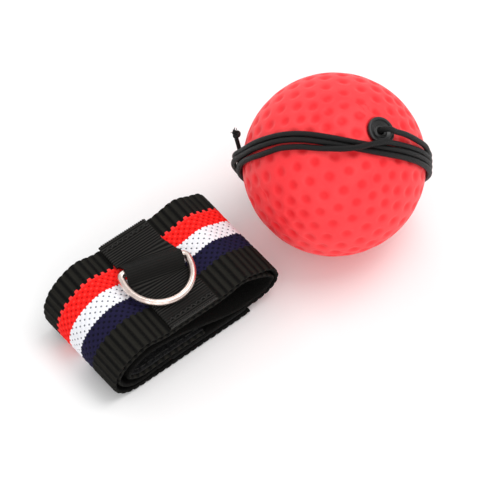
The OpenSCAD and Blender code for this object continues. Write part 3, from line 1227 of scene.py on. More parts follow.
    def shell(self, name: str, start: float, end: float, per_rib: int) -> bpy.types.Object:
        """Makes one stretch of the strap as a closed shell.

        Args:
            name: Name of the piece.
            start: Distance run where it starts.
            end: Distance run where it ends.
            per_rib: How many rows a rib gets.

        Returns:
            The piece, with the striped knit outside and the plain one inside.
        """
        section = self.section()
        rows = round((end - start) / self.stripes.pitch * per_rib) + 1
        run = np.linspace(start, end, rows)
        points, _, normals = self.strip.base(run, section.y)
        up = section.lift * self.outer(run, section.y)
        down = section.lift * self.inner(run, section.y)
        points = points + normals * np.where(section.lift > 0, up, down)[..., None]
        rib = self.ribs(run / self.stripes.pitch)[:, None]
        points[..., 1] += section.bulge * (self.edge_bulge + self.rib_bulge * rib)
        y = np.r_[section.y, section.y[0]] + self.edge_round * np.r_[section.bulge, 0]
        uv = np.stack(np.meshgrid(run / self.stripes.pitch, y, indexing="ij"), axis=-1)
        soup = Grid(points, uv).soup()
        inside = np.tile((section.lift < -0.4).astype(int), rows - 1)
        piece = soup.outward().build(name, inside)
        return dressed(piece, StripedKnit(self.stripes).make(), PlainKnit().make())

    def build(self) -> None:
        """Makes the outer turn, the inner turns and the tab."""
        end = float(self.strip.run[-1])
        seam = self.outer_share * end
        turn = self.shell("strap_outer_turn", 0.0, seam, 8)
        place(turn, Body.HEADBAND, Slot.KNIT, "elastic_strap")
        turns = self.shell("strap_inner_turns", seam, end, 6)
        place(turns, Body.HEADBAND, Slot.KNIT)
        tip = float(self.strip.run[0])
        tab = self.shell("strap_closure_tab", tip, 0.0, 8)
        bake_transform(tab)
        place(tab, None, Slot.KNIT, "strap_tab")
        width = 2 * self.edge * MM


@dataclass
class ClosurePatches:
    """The hook patch on the tab and the loop patch at the strap's inner end, each sewn along its edges."""

    strap: RolledStrap
    hook_base: float = 0.6
    hook_wire: float = 0.13
    hook_step: float = 1.35
    hook_weave: float = 0.03
    loop_base: float = 0.5
    loop_wire: float = 0.055
    loop_weave: float = 0.06
    loop_count: int = 1100
    loop_first: int = 42
    stitch_inset: float = 2.5
    stitch_length: float = 2.6
    stitch_space: float = 0.7
    sunk: float = 0.06
    seed: int = 5

    def __post_init__(self) -> None:
        """Finds the stretch of each patch."""
        strap = self.strap
        self.rng = np.random.default_rng(self.seed)
        self.edge = strap.edge - strap.patch_inset
        tab = catmull_rom(strap.tab_line(), 12)
        tip = strap.tab_tip - strap.patch_inset
        tab = tab[(tab[:, 0] > tip - strap.hook_length) & (tab[:, 0] <= tip)]
        self.hook_strip = Strip(tab, strap.edge)
        tail = catmull_rom(strap.strap_line()[self.loop_first:], 14)
        self.loop_strip = Strip(tail, strap.edge)

    def pad(self, name: str, strip: Strip, top: float, ripple: float) -> bpy.types.Object:
        """Makes the woven backing of a patch, as a closed band on the strap's face.

        Args:
            name: Name of the piece.
            strip: The line that it follows.
            top: Its thickness over the strap's face.
            ripple: Height of its weave.

        Returns:
            The backing.
        """
        face = self.edge - 0.3
        section = Section.of(np.linspace(-face, face, 62), np.linspace(face, -face, 8), (35, 90, 145))
        rows = round(strip.run[-1] / 0.45)
        run = np.linspace(0, strip.run[-1], rows)
        points, _, normals = strip.base(run, section.y)
        weave = ripple * np.cos(TAU * run[:, None] / 1.35) * np.cos(TAU * section.y[None, :] / 1.3)
        low, high = self.strap.mid - 0.12, self.strap.mid + top
        height = np.where(section.lift > 0.9, high + weave, low + (high - low) * (section.lift + 1) / 2)
        points = points + normals * height[..., None]
        points[..., 1] += section.bulge * 0.3
        return Grid(points).soup().outward().build(name)

    def rows(self, strip: Strip, step: float, margin: float) -> tuple[np.ndarray, ...]:
        """Lays points over a patch in staggered rows.

        Args:
            strip: The patch's line.
            step: Distance between rows and between the points of a row.
            margin: Bare edge round the points.

        Returns:
            Points, directions along, directions across and normals, one row for each point.
        """
        run = np.arange(margin, strip.run[-1] - margin, step)
        y = np.arange(-self.edge + margin, self.edge - margin, step)
        points, ahead, normals = strip.base(run, y)
        points = points + (ahead * (np.arange(len(y)) % 2)[None, :, None] * step / 2)
        across = np.cross(normals, ahead)
        return tuple(a.reshape(-1, 3) for a in (points, ahead, across, normals))

    def hooks(self) -> Soup:
        """Makes the hooks: a stem that bends over in a half circle, leaning left and right in turn.

        Returns:
            The hooks.
        """
        points, ahead, across, normals = self.rows(self.hook_strip, self.hook_step, 1.6)
        turn = np.radians([0, 0, 60, 120, 180, 225])
        side = 0.24 - 0.24 * np.cos(turn)
        rise = np.array([0, 0.42, 0.42, 0.42, 0.42, 0.42]) + 0.26 * np.sin(turn)
        flip = np.where(np.arange(len(points)) % 2, 1.0, -1.0)[:, None, None]
        base = points + normals * (self.strap.mid + self.hook_base - self.sunk)
        sideways = side[None, :, None] * ahead[:, None] * flip
        paths = base[:, None] + sideways + rise[None, :, None] * normals[:, None]
        sway = 0.08 * self.rng.standard_normal((len(points), 1, 1))
        jitter = sway * np.linspace(0, 1, len(turn))[None, :, None]
        radius = self.hook_wire * np.array([1.2, 1, 1, 0.95, 0.85, 0.4])
        return many_tubes(paths + across[:, None] * jitter, radius, 5)

    def loops(self) -> Soup:
        """Makes the loops: small arches of fine yarn that lean every way.

        Returns:
            The loops.
        """
        strip, rng = self.loop_strip, self.rng
        count = self.loop_count
        run = np.sort(rng.uniform(1.0, strip.run[-1] - 1.0, count))
        y = rng.uniform(-self.edge + 1.2, self.edge - 1.2, count)
        x, near, far = (np.interp(run, strip.run, c) for c in strip.line.T)
        share = (y + strip.edge) / (2 * strip.edge)
        base = np.stack([x, y, near + (far - near) * share], axis=1)
        rows = np.linspace(0, strip.run[-1], 200)
        _, ahead, normals = strip.base(rows, np.zeros(1))
        row = np.searchsorted(rows, run).clip(0, 199)
        ahead, normals = ahead[row, 0], normals[row, 0]
        across = np.cross(normals, ahead)
        way = rng.uniform(0, TAU, count)[:, None]
        span = np.cos(way) * ahead + np.sin(way) * across
        a = np.linspace(0, math.pi, 6)
        wide = rng.uniform(0.3, 0.55, count)[:, None, None]
        tall = rng.uniform(0.22, 0.4, count)[:, None, None]
        lean = rng.normal(0, 0.12, count)[:, None, None] * np.sin(a)[None, :, None]
        base = base + normals * (self.strap.mid + self.loop_base - 0.03)
        arch = wide * -np.cos(a)[None, :, None] * span[:, None]
        arch = arch + tall * np.sin(a)[None, :, None] * normals[:, None]
        side = np.cross(normals, span)
        return many_tubes(base[:, None] + arch + lean * side[:, None], np.full(6, self.loop_wire), 4)

    def stitches(self, strip: Strip, top: float) -> Soup:
        """Makes a row of lockstitches along both long edges of a patch.

        Args:
            strip: The patch's line.
            top: Height of the patch over the strap's face.

        Returns:
            The stitches.
        """
        step = self.stitch_length + self.stitch_space
        run = np.arange(1.5, strip.run[-1] - self.stitch_length - 1, step)
        t = np.linspace(0, 1, 7)
        paths = []
        for side in (-1, 1):
            y = side * (self.strap.edge - self.stitch_inset)
            all_runs = (run[:, None] + self.stitch_length * t[None, :]).ravel()
            x, near, far = (np.interp(all_runs, strip.run, c) for c in strip.line.T)
            share = (y + strip.edge) / (2 * strip.edge)
            z = near + (far - near) * share
            tangent = unit(np.stack([np.gradient(x), np.gradient(z)], axis=1))
            rise = self.strap.mid + top - self.sunk + 0.22 * np.sin(math.pi * np.tile(t, len(run)))
            px, pz = x - tangent[:, 1] * rise, z + tangent[:, 0] * rise
            points = np.stack([px, np.full_like(x, y), pz], axis=1)
            paths.append(points.reshape(len(run), 7, 3))
        return many_tubes(np.vstack(paths), 0.2 * np.array([0.5, 0.9, 1, 1, 1, 0.9, 0.5]), 8)

    def build(self) -> None:
        """Makes both patches, their hooks and loops, and their stitching."""
        hook_finish = HookAndLoop("hook_nylon", colour(40, 40, 42)).make()
        loop_finish = HookAndLoop("loop_nylon", colour(44, 44, 45)).make()
        thread = TwistedThread().make()
        hook, loop = (self.hook_strip, self.hook_base), (self.loop_strip, self.loop_base)
        parts = (
            (self.pad("hook_backing", *hook, self.hook_weave), hook_finish, Body.TAB, ("hook_patch",)),
            (self.hooks().build("hook_field"), hook_finish, Body.TAB, ()),
            (self.pad("loop_backing", *loop, self.loop_weave), loop_finish, Body.HEADBAND, ("loop_patch",)),
            (self.loops().build("loop_pile"), loop_finish, Body.HEADBAND, ()),
        )
        for piece, finish, body, nodes in parts:
            place(dressed(piece, finish), body, Slot.PATCH, *nodes)
        rows = (
            ("hook_lockstitch", hook, Body.TAB, "hook_stitching"),
            ("loop_lockstitch", loop, Body.HEADBAND, "loop_stitching"),
        )
        for name, patch, body, node in rows:
            place(dressed(self.stitches(*patch).build(name), thread), body, Slot.THREAD, node)


# ---------------------------------------------------------------- webbing and ring

@dataclass
class RingHolder:
    """The webbing across the roll, with its fold over the ring's bar, its stitching, and the ring."""

    strap: RolledStrap
    thickness: float = 1.2
    rib: float = 0.95
    fold_reach: float = 5.2
    wire: float = 2.6
    run_gap: float = 0.3
    hair_gap: float = 0.1
    inner_width: float = 22.4
    leg: float = 3.3
    corner: float = 1.8
    skew: float = -15.0
    bar_y: float = 2.9
    tack_edge: float = 2.6
    plain_fold: tuple[float, float] = (3.4, 4.8)
    near_seam: tuple[float, float, float, float] = (-17.6, -17.0, -14.4, -13.8)
    ring_sides: int = 28
    edge_round: float = 0.4
    twist: float = 0.9
    zigzags: int = 16
    edge_loops: int = 22

    def __post_init__(self) -> None:
        """Works out the frame of the webbing, as the design has it."""
        strap = self.strap
        slope = math.atan(strap.dip * (strap.far - strap.near) / (2 * strap.edge))
        self.width = strap.web_width
        self.base = np.array([strap.web_x, 0, strap.dip * (strap.far + strap.near) / 2])
        s, c = math.sin(slope), math.cos(slope)
        self.axes = np.array([[1, 0, 0], [0, c, s], [0, -s, c]])
        self.bore = self.wire / 2 + self.run_gap
        self.lift = self.thickness + self.hair_gap + self.bore
        self.top = self.lift + self.bore + self.thickness
        self.reach = strap.edge / c

    def out(self, points: np.ndarray) -> np.ndarray:
        """Turns points of the webbing's own frame into the object's."""
        return self.base + points @ self.axes

    def skewed(self, a: np.ndarray, d: np.ndarray) -> tuple[np.ndarray, np.ndarray]:
        """Turns places along and across the bar into places in the webbing's plane."""
        s, c = math.sin(math.radians(self.skew)), math.cos(math.radians(self.skew))
        return c * a - s * d, self.bar_y + s * a + c * d

    def fold(self, d: np.ndarray) -> np.ndarray:
        """Gives the height of the webbing's top at a distance from the bar.

        It is half a cosine wave on the far side. On the near side the wave is squeezed towards the bar, so
        that the fold drops steeply into a crease.

        Args:
            d: Distance from the bar, with its sign, across the bar.

        Returns:
            The height over the strap in millimetres.
        """
        bent = np.where(d < 0, -np.abs(d / self.fold_reach) ** 1.25, np.abs(d / self.fold_reach) ** 0.95)
        wave = 0.5 + 0.5 * np.cos(math.pi * np.clip(bent, -1, 1))
        crease = -0.3 * np.exp(-(((d + self.fold_reach) / 0.6) ** 2))
        return self.thickness + (self.top - self.thickness) * wave + crease

    def webbing(self) -> bpy.types.Object:
        """Makes the webbing as one closed shell.

        A row is a place q along the strip and a column a place a across it. The point is (a, q) away from
        the fold and turned with the bar on it, with a smooth change between. The height is the fold's, plus
        ribs that follow the cloth's own length, and the underside lies one thickness below or on the strap.

        Returns:
            The webbing.
        """
        fine = np.linspace(-self.reach, self.reach, 3000)
        height = self.fold(fine - self.bar_y)
        cloth = along(np.stack([fine, height], axis=1))
        q = np.interp(np.linspace(0, cloth[-1], round(cloth[-1] / 0.12)), cloth, fine)
        length = np.interp(q, fine, cloth)
        half = self.width / 2
        flat = half - self.edge_round
        section = Section.of(np.linspace(-flat, flat, 40), np.linspace(flat, -flat, 14), (35, 90, 145))
        d = (q - self.bar_y)[:, None]
        a = section.y[None, :] + self.edge_round * section.bulge[None, :]
        turn = 1 - smoothstep(self.fold_reach - 1.2, self.fold_reach + 2.2, np.abs(d))
        x, y = self.skewed(a * (1 + 0.05 * turn), d)
        x, y = a + (x - a) * turn, q[:, None] + (y - q[:, None]) * turn
        ridge = 0.5 + 0.5 * np.cos(TAU * length / self.rib)[:, None]
        ribbed = smoothstep(*self.plain_fold, np.abs(d + 0.3))
        seam = smoothstep(*self.near_seam[:2], q) * (1 - smoothstep(*self.near_seam[2:], q))
        near_band = 1 - 0.8 * seam[:, None]
        selvedge = smoothstep(half - 1.3, half - 0.7, np.abs(a))
        relief = 0.24 * ridge * (0.1 + 0.9 * ribbed) * near_band * (1 - 0.5 * selvedge) + 0.1 * selvedge
        odd = math.pi * np.floor(length / self.rib)[:, None]
        relief = relief + 0.05 * np.cos(TAU * a / self.twist + odd) * ridge
        top = self.fold(d) - 0.2 + relief
        under = np.maximum(self.fold(d) - self.thickness, -0.05)
        share = (section.lift[None, :] + 1) / 2
        z = np.where(section.lift > 0.9, top, under + (top - under) * share)
        points = self.out(np.stack(np.broadcast_arrays(x, y, z), axis=-1))
        uv_x = np.r_[section.y, section.y[0]]
        uv = np.stack(np.meshgrid(length, uv_x, indexing="ij")[::-1], axis=-1)
        # How strongly the webbing's material paints its rib highlights and groove shade: weak on the fold
        # and at the near seam.
        shade = ribbed * near_band * np.ones_like(a)
        piece = Grid(points, uv, shade=shade).soup().outward().build("ring_webbing_fold")
        return dressed(piece, RibbedWebbing(self.rib).make())

    def tacks(self, side: float) -> Soup:
        """Makes the stitching at one end: a zigzag row, and a row of small loops over the very edge.

        Args:
            side: 1 at the far end, -1 at the near one.

        Returns:
            The stitches.
        """
        half = self.width / 2 - 1.2
        x = np.linspace(-half, half, self.zigzags + 1)
        middle = side * (self.reach - self.tack_edge)
        y = middle + 0.55 * np.where(np.arange(self.zigzags + 1) % 2, 1, -1)
        ends = np.stack([x, y], axis=1)
        zigzag = self.arcs(ends[:-1], ends[1:], 0.3, 0.0)
        edge = side * (self.reach - 0.55)
        beads = np.linspace(-half, half, self.edge_loops)
        start, stop = (np.stack([beads + way, np.full_like(beads, edge)], axis=1) for way in (-0.38, 0.38))
        loops = self.arcs(start, stop, 0.28, side * 0.5)
        radius = 0.2 * np.array([0.5, 0.95, 1, 1, 1, 0.95, 0.5])
        return many_tubes(np.vstack([zigzag, loops]), radius, 8)

    def arcs(self, start: np.ndarray, stop: np.ndarray, rise: float, bow: float) -> np.ndarray:
        """Carries stitches from start to stop, up by rise and sideways by bow in the middle.

        Args:
            start: Where each stitch starts.
            stop: Where each stitch ends.
            rise: Height of its middle.
            bow: How far its middle goes sideways.

        Returns:
            Seven points for each stitch.
        """
        t = np.linspace(0, 1, 7)[None, :, None]
        flat = start[:, None] * (1 - t) + stop[:, None] * t
        swell = np.sin(math.pi * t)
        flat = flat + bow * swell * np.array([0.0, 1.0])
        z = self.thickness - 0.04 + rise * swell
        return self.out(np.concatenate([flat, z * np.ones_like(flat[..., :1])], axis=-1))

    def ring(self) -> bpy.types.Object:
        """Makes the D-ring: round wire along a bar, two tight corners, two legs and a half circle.

        The wire thickens a little where it is welded, in the middle of the bar.

        Returns:
            The ring.
        """
        reach = (self.inner_width + self.wire) / 2
        r, leg = self.corner, self.leg
        quarter = np.radians(np.linspace(90, 0, 12))
        bow = np.radians(np.linspace(0, -180, 80))
        right = np.stack([reach - r + r * np.cos(quarter), -r + r * np.sin(quarter)], axis=1)
        arc = np.stack([reach * np.cos(bow), -leg + reach * np.sin(bow)], axis=1)
        left = right[::-1] * [-1, 1]
        outline = resample(np.vstack([[0, 0], right, arc, left, [0, 0]]), 0.32)[:-1]
        x, d = outline.T
        px, py = self.skewed(x, d)
        path = self.out(np.stack([px, py, np.full_like(px, self.lift)], axis=1))
        weld = np.minimum(along(outline), along(outline)[-1] - along(outline))
        radius = self.wire / 2 * (1 + 0.04 * np.exp(-((weld / 0.7) ** 2)))
        wire = tube(path, radius, self.axes[2], self.ring_sides, closed=True)
        return dressed(wire.soup().outward().build("polished_d_ring"), PolishedNickel().make())

    def build(self) -> None:
        """Makes the webbing, its stitching and the ring."""
        place(self.webbing(), Body.HEADBAND, Slot.WEBBING, "ring_webbing")
        thread = TwistedThread().make()
        for side, name in ((1, "far_stitching"), (-1, "near_stitching")):
            piece = dressed(self.tacks(side).build(name.replace("stitching", "tacking")), thread)
            place(piece, Body.HEADBAND, Slot.THREAD, name)
        place(self.ring(), Body.RING, Slot.STEEL, "d_ring")


# ---------------------------------------------------------------- ball

@dataclass
class Ball:
    """The foam ball with its dimples, and the plug that the cord comes out of."""

    plug_tilt: float = 31.8
    plug_turn: float = -69.4
    plug_length: float = 12.0
    flange_depth: float = 0.6
    flange_top: float = 0.8
    stem: float = 2.4
    barb: float = 2.8
    barb_step: float = 2.0
    cord: float = 2.0
    dimple_rows: int = 6
    dimple_tilt: float = 17.0
    dimple_turn: float = 24.0
    dimple_width: float = 5.4
    dimple_depth: float = 0.66
    plain_border: float = 1.6
    seat_gap: float = 0.15
    swell_height: float = 0.22
    unevenness: float = 0.05
    crease_depth: float = 0.14
    crease_spots: tuple[tuple[float, float, float], ...] = (
        (148.0, 9.5, 5.0), (160.0, 11.0, 6.5), (171.0, 8.5, 4.0),
    )
    fineness: int = 110

    def __post_init__(self) -> None:
        """Reads the ball's place and size, and the flange's, from the frame."""
        low, high = node_box("ball_foam")
        self.centre = (low + high) / 2
        self.radius = (high[0] - low[0]) / 2
        self.turn = turned(self.plug_tilt, self.plug_turn)
        self.axis = self.turn[:, 2]
        plug = (node_points("cord_plug") - self.centre) @ self.turn
        self.rim = np.hypot(plug[:, 0], plug[:, 1]).max()

    def out(self, points: np.ndarray) -> np.ndarray:
        """Turns points of the plug's own frame, whose z axis is the plug's, into the object's."""
        return self.centre + points @ self.turn.T

    def directions(self) -> tuple[np.ndarray, np.ndarray]:
        """Spreads points evenly over a sphere from the six faces of a cube.

        On a face, (1, tan u, tan v) with u and v from -45 to 45 degrees, scaled to length one. Points that
        two faces share are merged.

        Returns:
            The directions, and the corners of the squares between them.
        """
        n = self.fineness
        t = np.tan(np.linspace(-math.pi / 4, math.pi / 4, n + 1))
        u, v = (a.ravel() for a in np.meshgrid(t, t, indexing="ij"))
        one = np.ones_like(u)
        faces = [(one, u, v), (-one, v, u), (v, one, u), (u, -one, v), (u, v, one), (v, u, -one)]
        points = unit(np.concatenate([np.stack(f, axis=1) for f in faces]))
        corners, _ = Grid(np.zeros((n + 1, n + 1, 3)), ring_columns=False, caps=False).faces()
        quads = np.concatenate([corners + k * (n + 1) ** 2 for k in range(6)])
        _, first, place_of = np.unique(np.round(points, 6), axis=0, return_index=True, return_inverse=True)
        return points[first], place_of.ravel()[quads]

    def dimples(self) -> np.ndarray:
        """Gives the middle of each dimple: an icosahedron's faces, each cut into rows of even triangles.

        Returns:
            The directions, in the plug's own frame.
        """
        g = (1 + math.sqrt(5)) / 2
        even = [(0, a, b * g) for a in (-1, 1) for b in (-1, 1)]
        corners = unit(np.array([p[k:] + p[:k] for p in even for k in range(3)], float))
        apart = np.linalg.norm(corners[:, None] - corners[None], axis=2)
        near = (apart > 0.1) & (apart < 1.2)
        i, j, k = np.nonzero(near[:, :, None] & near[:, None, :] & near[None, :, :])
        keep = (i < j) & (j < k)
        n = self.dimple_rows
        cuts = np.array([(a, b, n - a - b) for a in range(n + 1) for b in range(n + 1 - a)]) / n
        trios = corners[np.stack([i, j, k], axis=1)[keep]]
        spots = unit(np.einsum("cm,tmx->tcx", cuts, trios).reshape(-1, 3))
        spots = np.unique(np.round(spots, 5), axis=0)
        return spots @ turned(self.dimple_tilt, self.dimple_turn).T

    def foam(self) -> bpy.types.Object:
        """Makes the ball.

        The radius is the ball's, less a soft dish at each dimple, (1 - t^2)^1.6 with t the share of the way
        to its rim, less the seat of the flange, the well of the stem and the creases, plus slow unevenness
        and a low swell round the flange, which presses into the foam.

        Returns:
            The ball.
        """
        way, quads = self.directions()
        spots = self.dimples()
        spots = spots[np.arccos(np.clip(spots[:, 2], -1, 1)) * self.radius > self.rim + self.plain_border]
        nearest = np.concatenate([(part @ spots.T).max(1) for part in np.array_split(way, 12)])
        t = np.arccos(np.clip(nearest, -1, 1)) * self.radius / (self.dimple_width / 2)
        dish = self.dimple_depth * np.clip(1 - t * t, 0, 1) ** 1.6
        from_plug = np.arccos(np.clip(way[:, 2], -1, 1)) * self.radius
        rise = smoothstep(self.rim - 0.1, self.rim + 0.45, from_plug)
        seat = (self.flange_depth + self.seat_gap) * (1 - rise)
        well = (self.plug_length + 0.4) * (1 - smoothstep(self.stem, self.barb + 0.5, from_plug))
        swell = self.swell_height * np.exp(-(((from_plug - self.rim - 0.9) / 0.7) ** 2))
        x, y, z = way.T
        waves = np.sin(5 * x + 2 * y) + np.sin(4 * y - 3 * z + 1) + np.sin(6 * z + 4 * x + 2)
        uneven = self.unevenness * waves / 3
        crease = self.creases(way)
        radius = self.radius - self.unevenness + uneven - dish - seat - well + swell - crease
        points = self.out(way * radius[:, None])
        # Painted shade values: 1 in a dimple's floor and more in the creases; the foam's material paints
        # them darker.
        hollow_shade = np.clip(dish / self.dimple_depth, 0, 1) + 0.5 * (crease > 0.05)
        piece = Soup(points, quads, shade=hollow_shade).outward().build("dimpled_foam_ball")
        return dressed(piece, MouldedFoam(tuple(self.centre * MM), tuple(self.axis)).make())

    def creases(self, way: np.ndarray) -> np.ndarray:
        """Gives the depth of the short creases in the foam beside the flange.

        Each lies at a turn round the plug and a distance from it, and is a narrow, slightly bent groove,
        exp(-(side / 0.3)^2) across and 1 - t^2 along, with t the share of the way to its end.

        Args:
            way: Directions from the ball's middle, in the plug's own frame.

        Returns:
            The depth at each direction, in millimetres.
        """
        depth = np.zeros(len(way))
        for turn, reach, length in self.crease_spots:
            a = math.radians(turn)
            p = way[:, :2] * self.radius
            out = p @ np.array([math.cos(a), math.sin(a)])
            side = p @ np.array([-math.sin(a), math.cos(a)]) - 0.03 * (out - reach) ** 2
            groove = np.exp(-((side / 0.3) ** 2)) * np.clip(1 - ((out - reach) / (length / 2)) ** 2, 0, 1)
            depth += self.crease_depth * groove * (way[:, 2] > 0)
        return depth

    def plug(self) -> bpy.types.Object:
        """Makes the plug: a dished flange with a raised rim on a barbed stem, bored for the cord.

        Returns:
            The plug.
        """
        hole = self.cord / 2 + 0.12
        rim, top, stem, barb, step = self.rim, self.flange_top, self.stem, self.barb, self.barb_step
        low = -self.plug_length
        profile = [
            (hole, low), (stem - 0.4, low), (barb, low + step), (stem, low + step + 0.2),
            (stem, low + 2 * step), (barb, low + 3 * step), (stem, low + 3 * step + 0.2),
            (stem, -self.flange_depth), (rim - 0.2, -self.flange_depth), (rim, -self.flange_depth + 0.3),
            (rim, top - 0.35), (rim - 0.35, top), (rim - 1.05, top), (rim - 1.35, top - 0.45),
            (hole + 1.35, top - 0.95), (hole + 1.05, top - 0.6), (hole + 0.3, top - 0.6), (hole, top - 0.9),
        ]
        points = lathe(rounded([(r, self.radius + z) for r, z in profile], 0.22), 96)
        points.points = self.out(points.points)
        return dressed(points.soup().outward().build("moulded_cord_plug"), MouldedPlastic().make())

    def build(self) -> None:
        """Makes the ball and the plug."""
        foam = place(self.foam(), Body.BALL, Slot.FOAM, "ball_foam")
        place(self.plug(), Body.BALL, Slot.PLUG, "cord_plug")


@dataclass(frozen=True)
class Turn:
    """One turn of the cord round the ball: its lane across the winding and its height over the foam."""

    lanes: tuple[tuple[float, float], ...]
    lifts: tuple[tuple[float, float], ...] = ((0, 0), (360, 0))


@dataclass
class ElasticCord:
    """The elastic cord: out of the plug, three and a half turns round the ball, and a knotted tail.

    The lead's and the tail's points are the design's, from the middle of the ball. The turns are worked out
    round the winding's axis: an angle in degrees from the plug, a lane along the axis, and a lift.
    """

    ball: Ball
    diameter: float = 2.0
    tail_share: float = 0.78
    tail_taper: tuple[float, float] = (11.0, 4.0)
    guide_change: tuple[float, float] = (12.0, 20.0)
    winding_tilt: float = 63.4
    winding_turn: float = 50.0
    hair_gap: float = 0.1
    first: float = 48.0
    last: float = 228.0
    step: float = 8.0
    lead: tuple[tuple[float, float, float], ...] = (
        (7.5, -18.8, 30), (9.5, -20, 28.2), (13, -21, 25.1), (17.3, -22.2, 20.1), (21.5, -22.5, 14.1),
    )
    tail: tuple[tuple[float, float, float], ...] = (
        (-24.6, 22.5, -4.1), (-25, 22.2, -1.7), (-24.4, 22.7, 0.6),
        (-23.3, 23.9, 2.2), (-22.9, 25.1, 4.4), (-22.8, 26.5, 7.5),
    )
    knot: tuple[float, float, float] = (-22.4, 27, 9)
    knot_tilt: float = 20.0
    knot_turn: float = -40.0
    knot_swell: float = 1.08
    anchor_size: float = 4.0
    fibres: int = 34
    fibre_root: tuple[float, float, float] = (-0.25, 0.1, 0.9)
    fibre_room: float = 2.0
    fray_seed: int = 3
    turns: tuple[Turn, ...] = (
        Turn(
            ((48, 2.55), (100, 3.1), (152, 3.15), (225, 3.1), (257, 2.9), (281, 3.5), (298, 3.8),
             (311, 3.2), (325, 1.7), (338, 0.2), (350, -0.8), (364, -1.35), (380, -1.4), (408, -1.5)),
            ((225, 0), (243, 1.7), (262, 0)),
        ),
        Turn(
            ((48, -1.5), (100, -1.05), (152, -1.0), (190, -1.0), (205, -0.75), (220, -0.1),
             (233, 0.5), (257, 0.9), (281, 1.3), (298, 1.75), (311, 1.1), (325, -0.4),
             (338, -1.85), (350, -2.85), (364, -3.4), (408, -3.5)),
            ((185, 0), (205, 1.5), (220, 2.0), (243, 1.9), (264, 0)),
        ),
        Turn(
            ((48, -3.5), (100, -3.1), (152, -3.05), (205, -2.8), (233, -2.4), (257, -1.4),
             (281, -1.7), (298, -0.9), (311, -1.4), (325, -2.6), (338, -3.1), (350, -1.2),
             (364, 0.55), (380, 0.7), (408, 0.5)),
            ((320, 0), (337, 2.0), (356, 2.0), (372, 0.2), (380, 0)),
        ),
        Turn(((48, 0.5), (100, 1.0), (152, 1.05), (190, 1.0), (205, 0.8), (220, 0.2), (233, -0.45))),
    )
    sides: int = 14

    def __post_init__(self) -> None:
        """Lays the winding's own axes: its axis, the direction towards the plug, and their cross product."""
        self.axis = turned(self.winding_tilt, self.winding_turn)[:, 2]
        towards = self.ball.axis - (self.ball.axis @ self.axis) * self.axis
        self.zero = towards / np.linalg.norm(towards)
        self.ninety = np.cross(self.axis, self.zero)

    def winding(self) -> np.ndarray:
        """Works out the turns.

        A point is rho (cos a zero + sin a ninety) + lane axis, where rho squared plus lane squared is the
        radius squared, and the radius is the ball's plus the gap, half a cord and the lift.

        Returns:
            The points, from the ball's middle.
        """
        total = 360 * (len(self.turns) - 1) + self.last
        angles = np.arange(self.first, total + 0.1, self.step)
        number = np.minimum((angles - self.first) // 360, len(self.turns) - 1).astype(int)
        within = angles - 360 * number
        lane = np.choose(number, [eased(within, t.lanes) for t in self.turns])
        lift = np.choose(number, [eased(within, t.lifts) for t in self.turns])
        radius = self.ball.radius + self.hair_gap + self.diameter / 2 + lift
        rho = np.sqrt(radius**2 - lane**2)[:, None]
        a = np.radians(within)[:, None]
        return rho * (np.cos(a) * self.zero + np.sin(a) * self.ninety) + lane[:, None] * self.axis

    def route(self) -> np.ndarray:
        """Joins the cord's stretches into one smooth line from inside the plug to the knot.

        Returns:
            The middle line, in the frame of the object.
        """
        r = self.ball.radius
        inside = np.outer([r - self.ball.plug_length - 1, r - 5, r + 1], self.ball.axis)
        points = np.vstack([inside, self.lead, self.winding(), self.tail])
        return self.ball.centre + resample(catmull_rom(points, 8), 0.6)

    def sleeve(self) -> tuple[bpy.types.Object, np.ndarray]:
        """Makes the cord as a tube that thins towards the knot, and gives its middle line.

        Returns:
            The cord and its middle line.
        """
        path = self.route()
        run = along(path)
        thins = smoothstep(run[-1] - self.tail_taper[0], run[-1] - self.tail_taper[1], run)
        radius = self.diameter / 2 * (1 - (1 - self.tail_share) * thins)
        outside = smoothstep(*self.guide_change, run)[:, None]
        guide = unit(path - self.ball.centre) * outside + self.axis * (1 - outside)
        piece = tube(path, radius, guide, self.sides).soup().outward().build("elastic_cord")
        return dressed(piece, BraidedSleeve().make()), path

    def tied(self, name: str, centre: np.ndarray, tilt: float, turn: float, size: float) -> bpy.types.Object:
        """Makes a pulled-tight overhand knot.

        Its middle line is the trefoil (sin t + 2 sin 2t, cos t - 2 cos 2t, -1.25 sin 3t), scaled until its
        lobes press into each other.

        Args:
            name: Name of the piece.
            centre: Middle of the knot.
            tilt: Lean of its axis, in degrees.
            turn: Turn of its axis, in degrees.
            size: Width over all.

        Returns:
            The knot.
        """
        t = TAU * np.arange(132) / 132
        x = np.sin(t) + 2 * np.sin(2 * t)
        y = np.cos(t) - 2 * np.cos(2 * t)
        loop = np.stack([x, y, -1.25 * np.sin(3 * t)], axis=1)
        thick = 0.215 * size
        path = centre + (loop * (size / 2 - thick) / 3) @ turned(tilt, turn).T
        guide = np.cross(unit(np.roll(path, -1, axis=0) - np.roll(path, 1, axis=0)), path - centre)
        piece = tube(path, thick, guide, self.sides, closed=True).soup().outward().build(name)
        return dressed(piece, BraidedSleeve(strands=6, lay=2.4).make())

